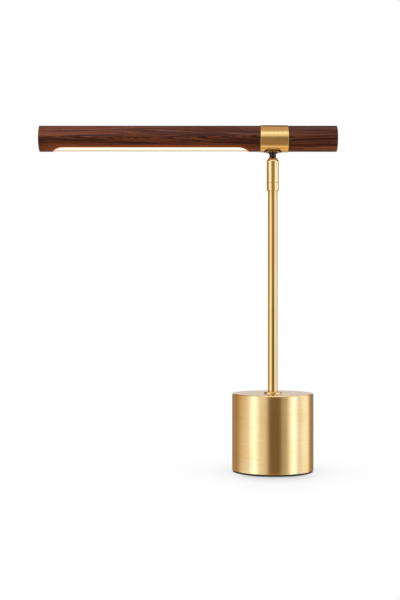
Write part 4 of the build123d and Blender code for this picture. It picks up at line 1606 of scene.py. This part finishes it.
    def table_finish(self) -> Material:
        """Make the table's white.

        The camera sees plain white, less the soft shadow of what stands on it: a share of the sky that the lamp
        covers, counted by an ambient occlusion node, which weighs more in front of the drum than beside it.
        The brass sees the white background, the boxes and the flags through the table.

        Returns:
            The material.
        """
        material, tree = new_material("white_table")
        x, y, _ = tree.place()
        sky = tree.node("ShaderNodeAmbientOcclusion", {"samples": 16}, {"Distance": self.shadow_reach})
        covered = tree.math("MAXIMUM", 1.0 - tree.out(sky, "AO"), 0.0) ** 1.5
        in_front = tree.smooth(y, -0.03, -0.05) * tree.smooth(tree.math("ABSOLUTE", x), 0.075, 0.02)
        level = 1.0 - covered * (in_front * (self.front_shadow - self.side_shadow) + self.side_shadow)
        table = tree.node("ShaderNodeEmission", inputs={"Color": tree.vector(level, level, level), "Strength": 1.0})
        bounce = tree.node("ShaderNodeBsdfDiffuse", inputs={"Color": (0.85, 0.85, 0.84, 1.0)})
        clear = tree.node("ShaderNodeBsdfTransparent")
        seen, glossy = self.rays(tree)
        shown = tree.node("ShaderNodeMixShader", inputs={0: seen, 1: tree.out(bounce), 2: tree.out(table)})
        final = tree.node("ShaderNodeMixShader", inputs={0: glossy, 1: tree.out(shown), 2: tree.out(clear)})
        tree.node("ShaderNodeOutputMaterial", inputs={"Surface": tree.out(final)})
        return material

    def floor(self) -> None:
        """Lay the table: a flat grid at z = 0."""
        span = np.linspace(-self.floor_half, self.floor_half, 9)
        x, y = np.meshgrid(span, span)
        surface = SurfaceMesh()
        surface.grid(level_line(x, y, 0.0))
        table = surface.build("white_table", self.table_finish())

    @staticmethod
    def lamps() -> None:
        """Hang soft lamps that fill the matt surfaces and stay out of the brass."""
        # Name, place, target, size and power of each
        plans = (
            ("front_fill", (-0.5, -2.2, 1.3), (-0.12, 0.0, 0.35), 1.6, 8.0),
            ("top_fill", (0.0, -0.2, 2.2), (-0.1, 0.0, 0.3), 1.8, 12.0),
        )
        for name, place, target, size, power in plans:
            data = bpy.data.lights.new(name, "AREA")
            data.shape = "SQUARE"
            data.size = size
            data.energy = power
            lamp = bpy.data.objects.new(name, data)
            away = np.array(place) - np.array(target)
            flat = math.hypot(away[0], away[1])
            lamp.location = place
            lamp.rotation_euler = (math.atan2(flat, away[2]), 0.0, math.atan2(away[0], -away[1]))
            lamp.visible_glossy = False
            lamp.visible_camera = False
            bpy.context.scene.collection.objects.link(lamp)

    def build(self) -> None:
        """Set up all of it."""
        self.camera()
        self.world()
        self.floor()
        self.lamps()


def main() -> None:
    """Build the lamp's pieces, its studio and its camera."""
    logging.basicConfig(level=logging.INFO, format="%(message)s")
    bpy.context.scene.view_settings.view_transform = "Standard"
    Studio().build()
    inner = InnerFittings()
    head = TubeHead()

    satin = SatinBrass()
    drawn = SatinBrass(roughness=0.08, line_depth=0.000001, contrast=0.2)
    drawn_deep = SatinBrass(
        colour=(0.80, 0.53, 0.20, 1.0),
        warm=(0.77, 0.49, 0.17, 1.0),
        roughness=0.07,
        line_depth=0.000001,
        contrast=0.2,
    )
    brushed_level = SatinBrass(
        axis=Axis.ALONG_TUBE,
        level=head.level,
        colour=(0.87, 0.58, 0.23, 1.0),
        warm=(0.85, 0.55, 0.20, 1.0),
        roughness=0.27,
        line_pitch=0.0009,
        line_depth=0.000015,
        spread=0.6,
    )
    # Paler copy of the brass for the saddle's crown: painted light, so that its reflection in the collar's underside
    # looks lit; a ring of painted shade lies at its rim
    pale = SatinBrass(
        colour=(0.95, 0.90, 0.76, 1.0),
        warm=(0.93, 0.87, 0.72, 1.0),
        roughness=0.3,
        gap_shade_from=head.flange_radius - head.crown_shade_ring,
    )
    # Darker copy of the brass for the saddle's plate: painted shade under the collar, with a ring of painted shade
    # at its rim
    plate_shaded_brass = SatinBrass(
        colour=(0.52, 0.37, 0.19, 1.0),
        warm=(0.48, 0.33, 0.16, 1.0),
        gap_shade_from=head.flange_radius - head.plate_shade_ring,
    )
    upright_brass = satin.material("brass_turned_upright")
    drawn_brass = drawn.material("brass_drawn_upright")

    drum = DrumBase()
    drum.drum(upright_brass)
    drum.foot(inner.made["black_rubber"])
    drum.bush(inner.made["black_plastic"])

    stem = StemAndSwivel()
    stem.foot_ring(upright_brass)
    stem.stem(drawn_deep.material("brass_drawn_stem"))
    stem.swivel_ring(drawn_brass)
    stem.barrel(drawn_brass)
    stem.ball_stud(inner.made["black_steel"])

    head.wood(DarkWood(head.level).material("dark_red_wood"))
    head.collar(brushed_level.material("brass_brushed_level"))
    head.saddle(pale.material("brass_crown_painted_light"), plate_shaded_brass.material("brass_plate_painted_shade"))
    head.lens(OpalGlow(head.level, head.radius - head.lens_recess).material("opal_light"))

    inner.dress()


if __name__ == "__main__":
    main()
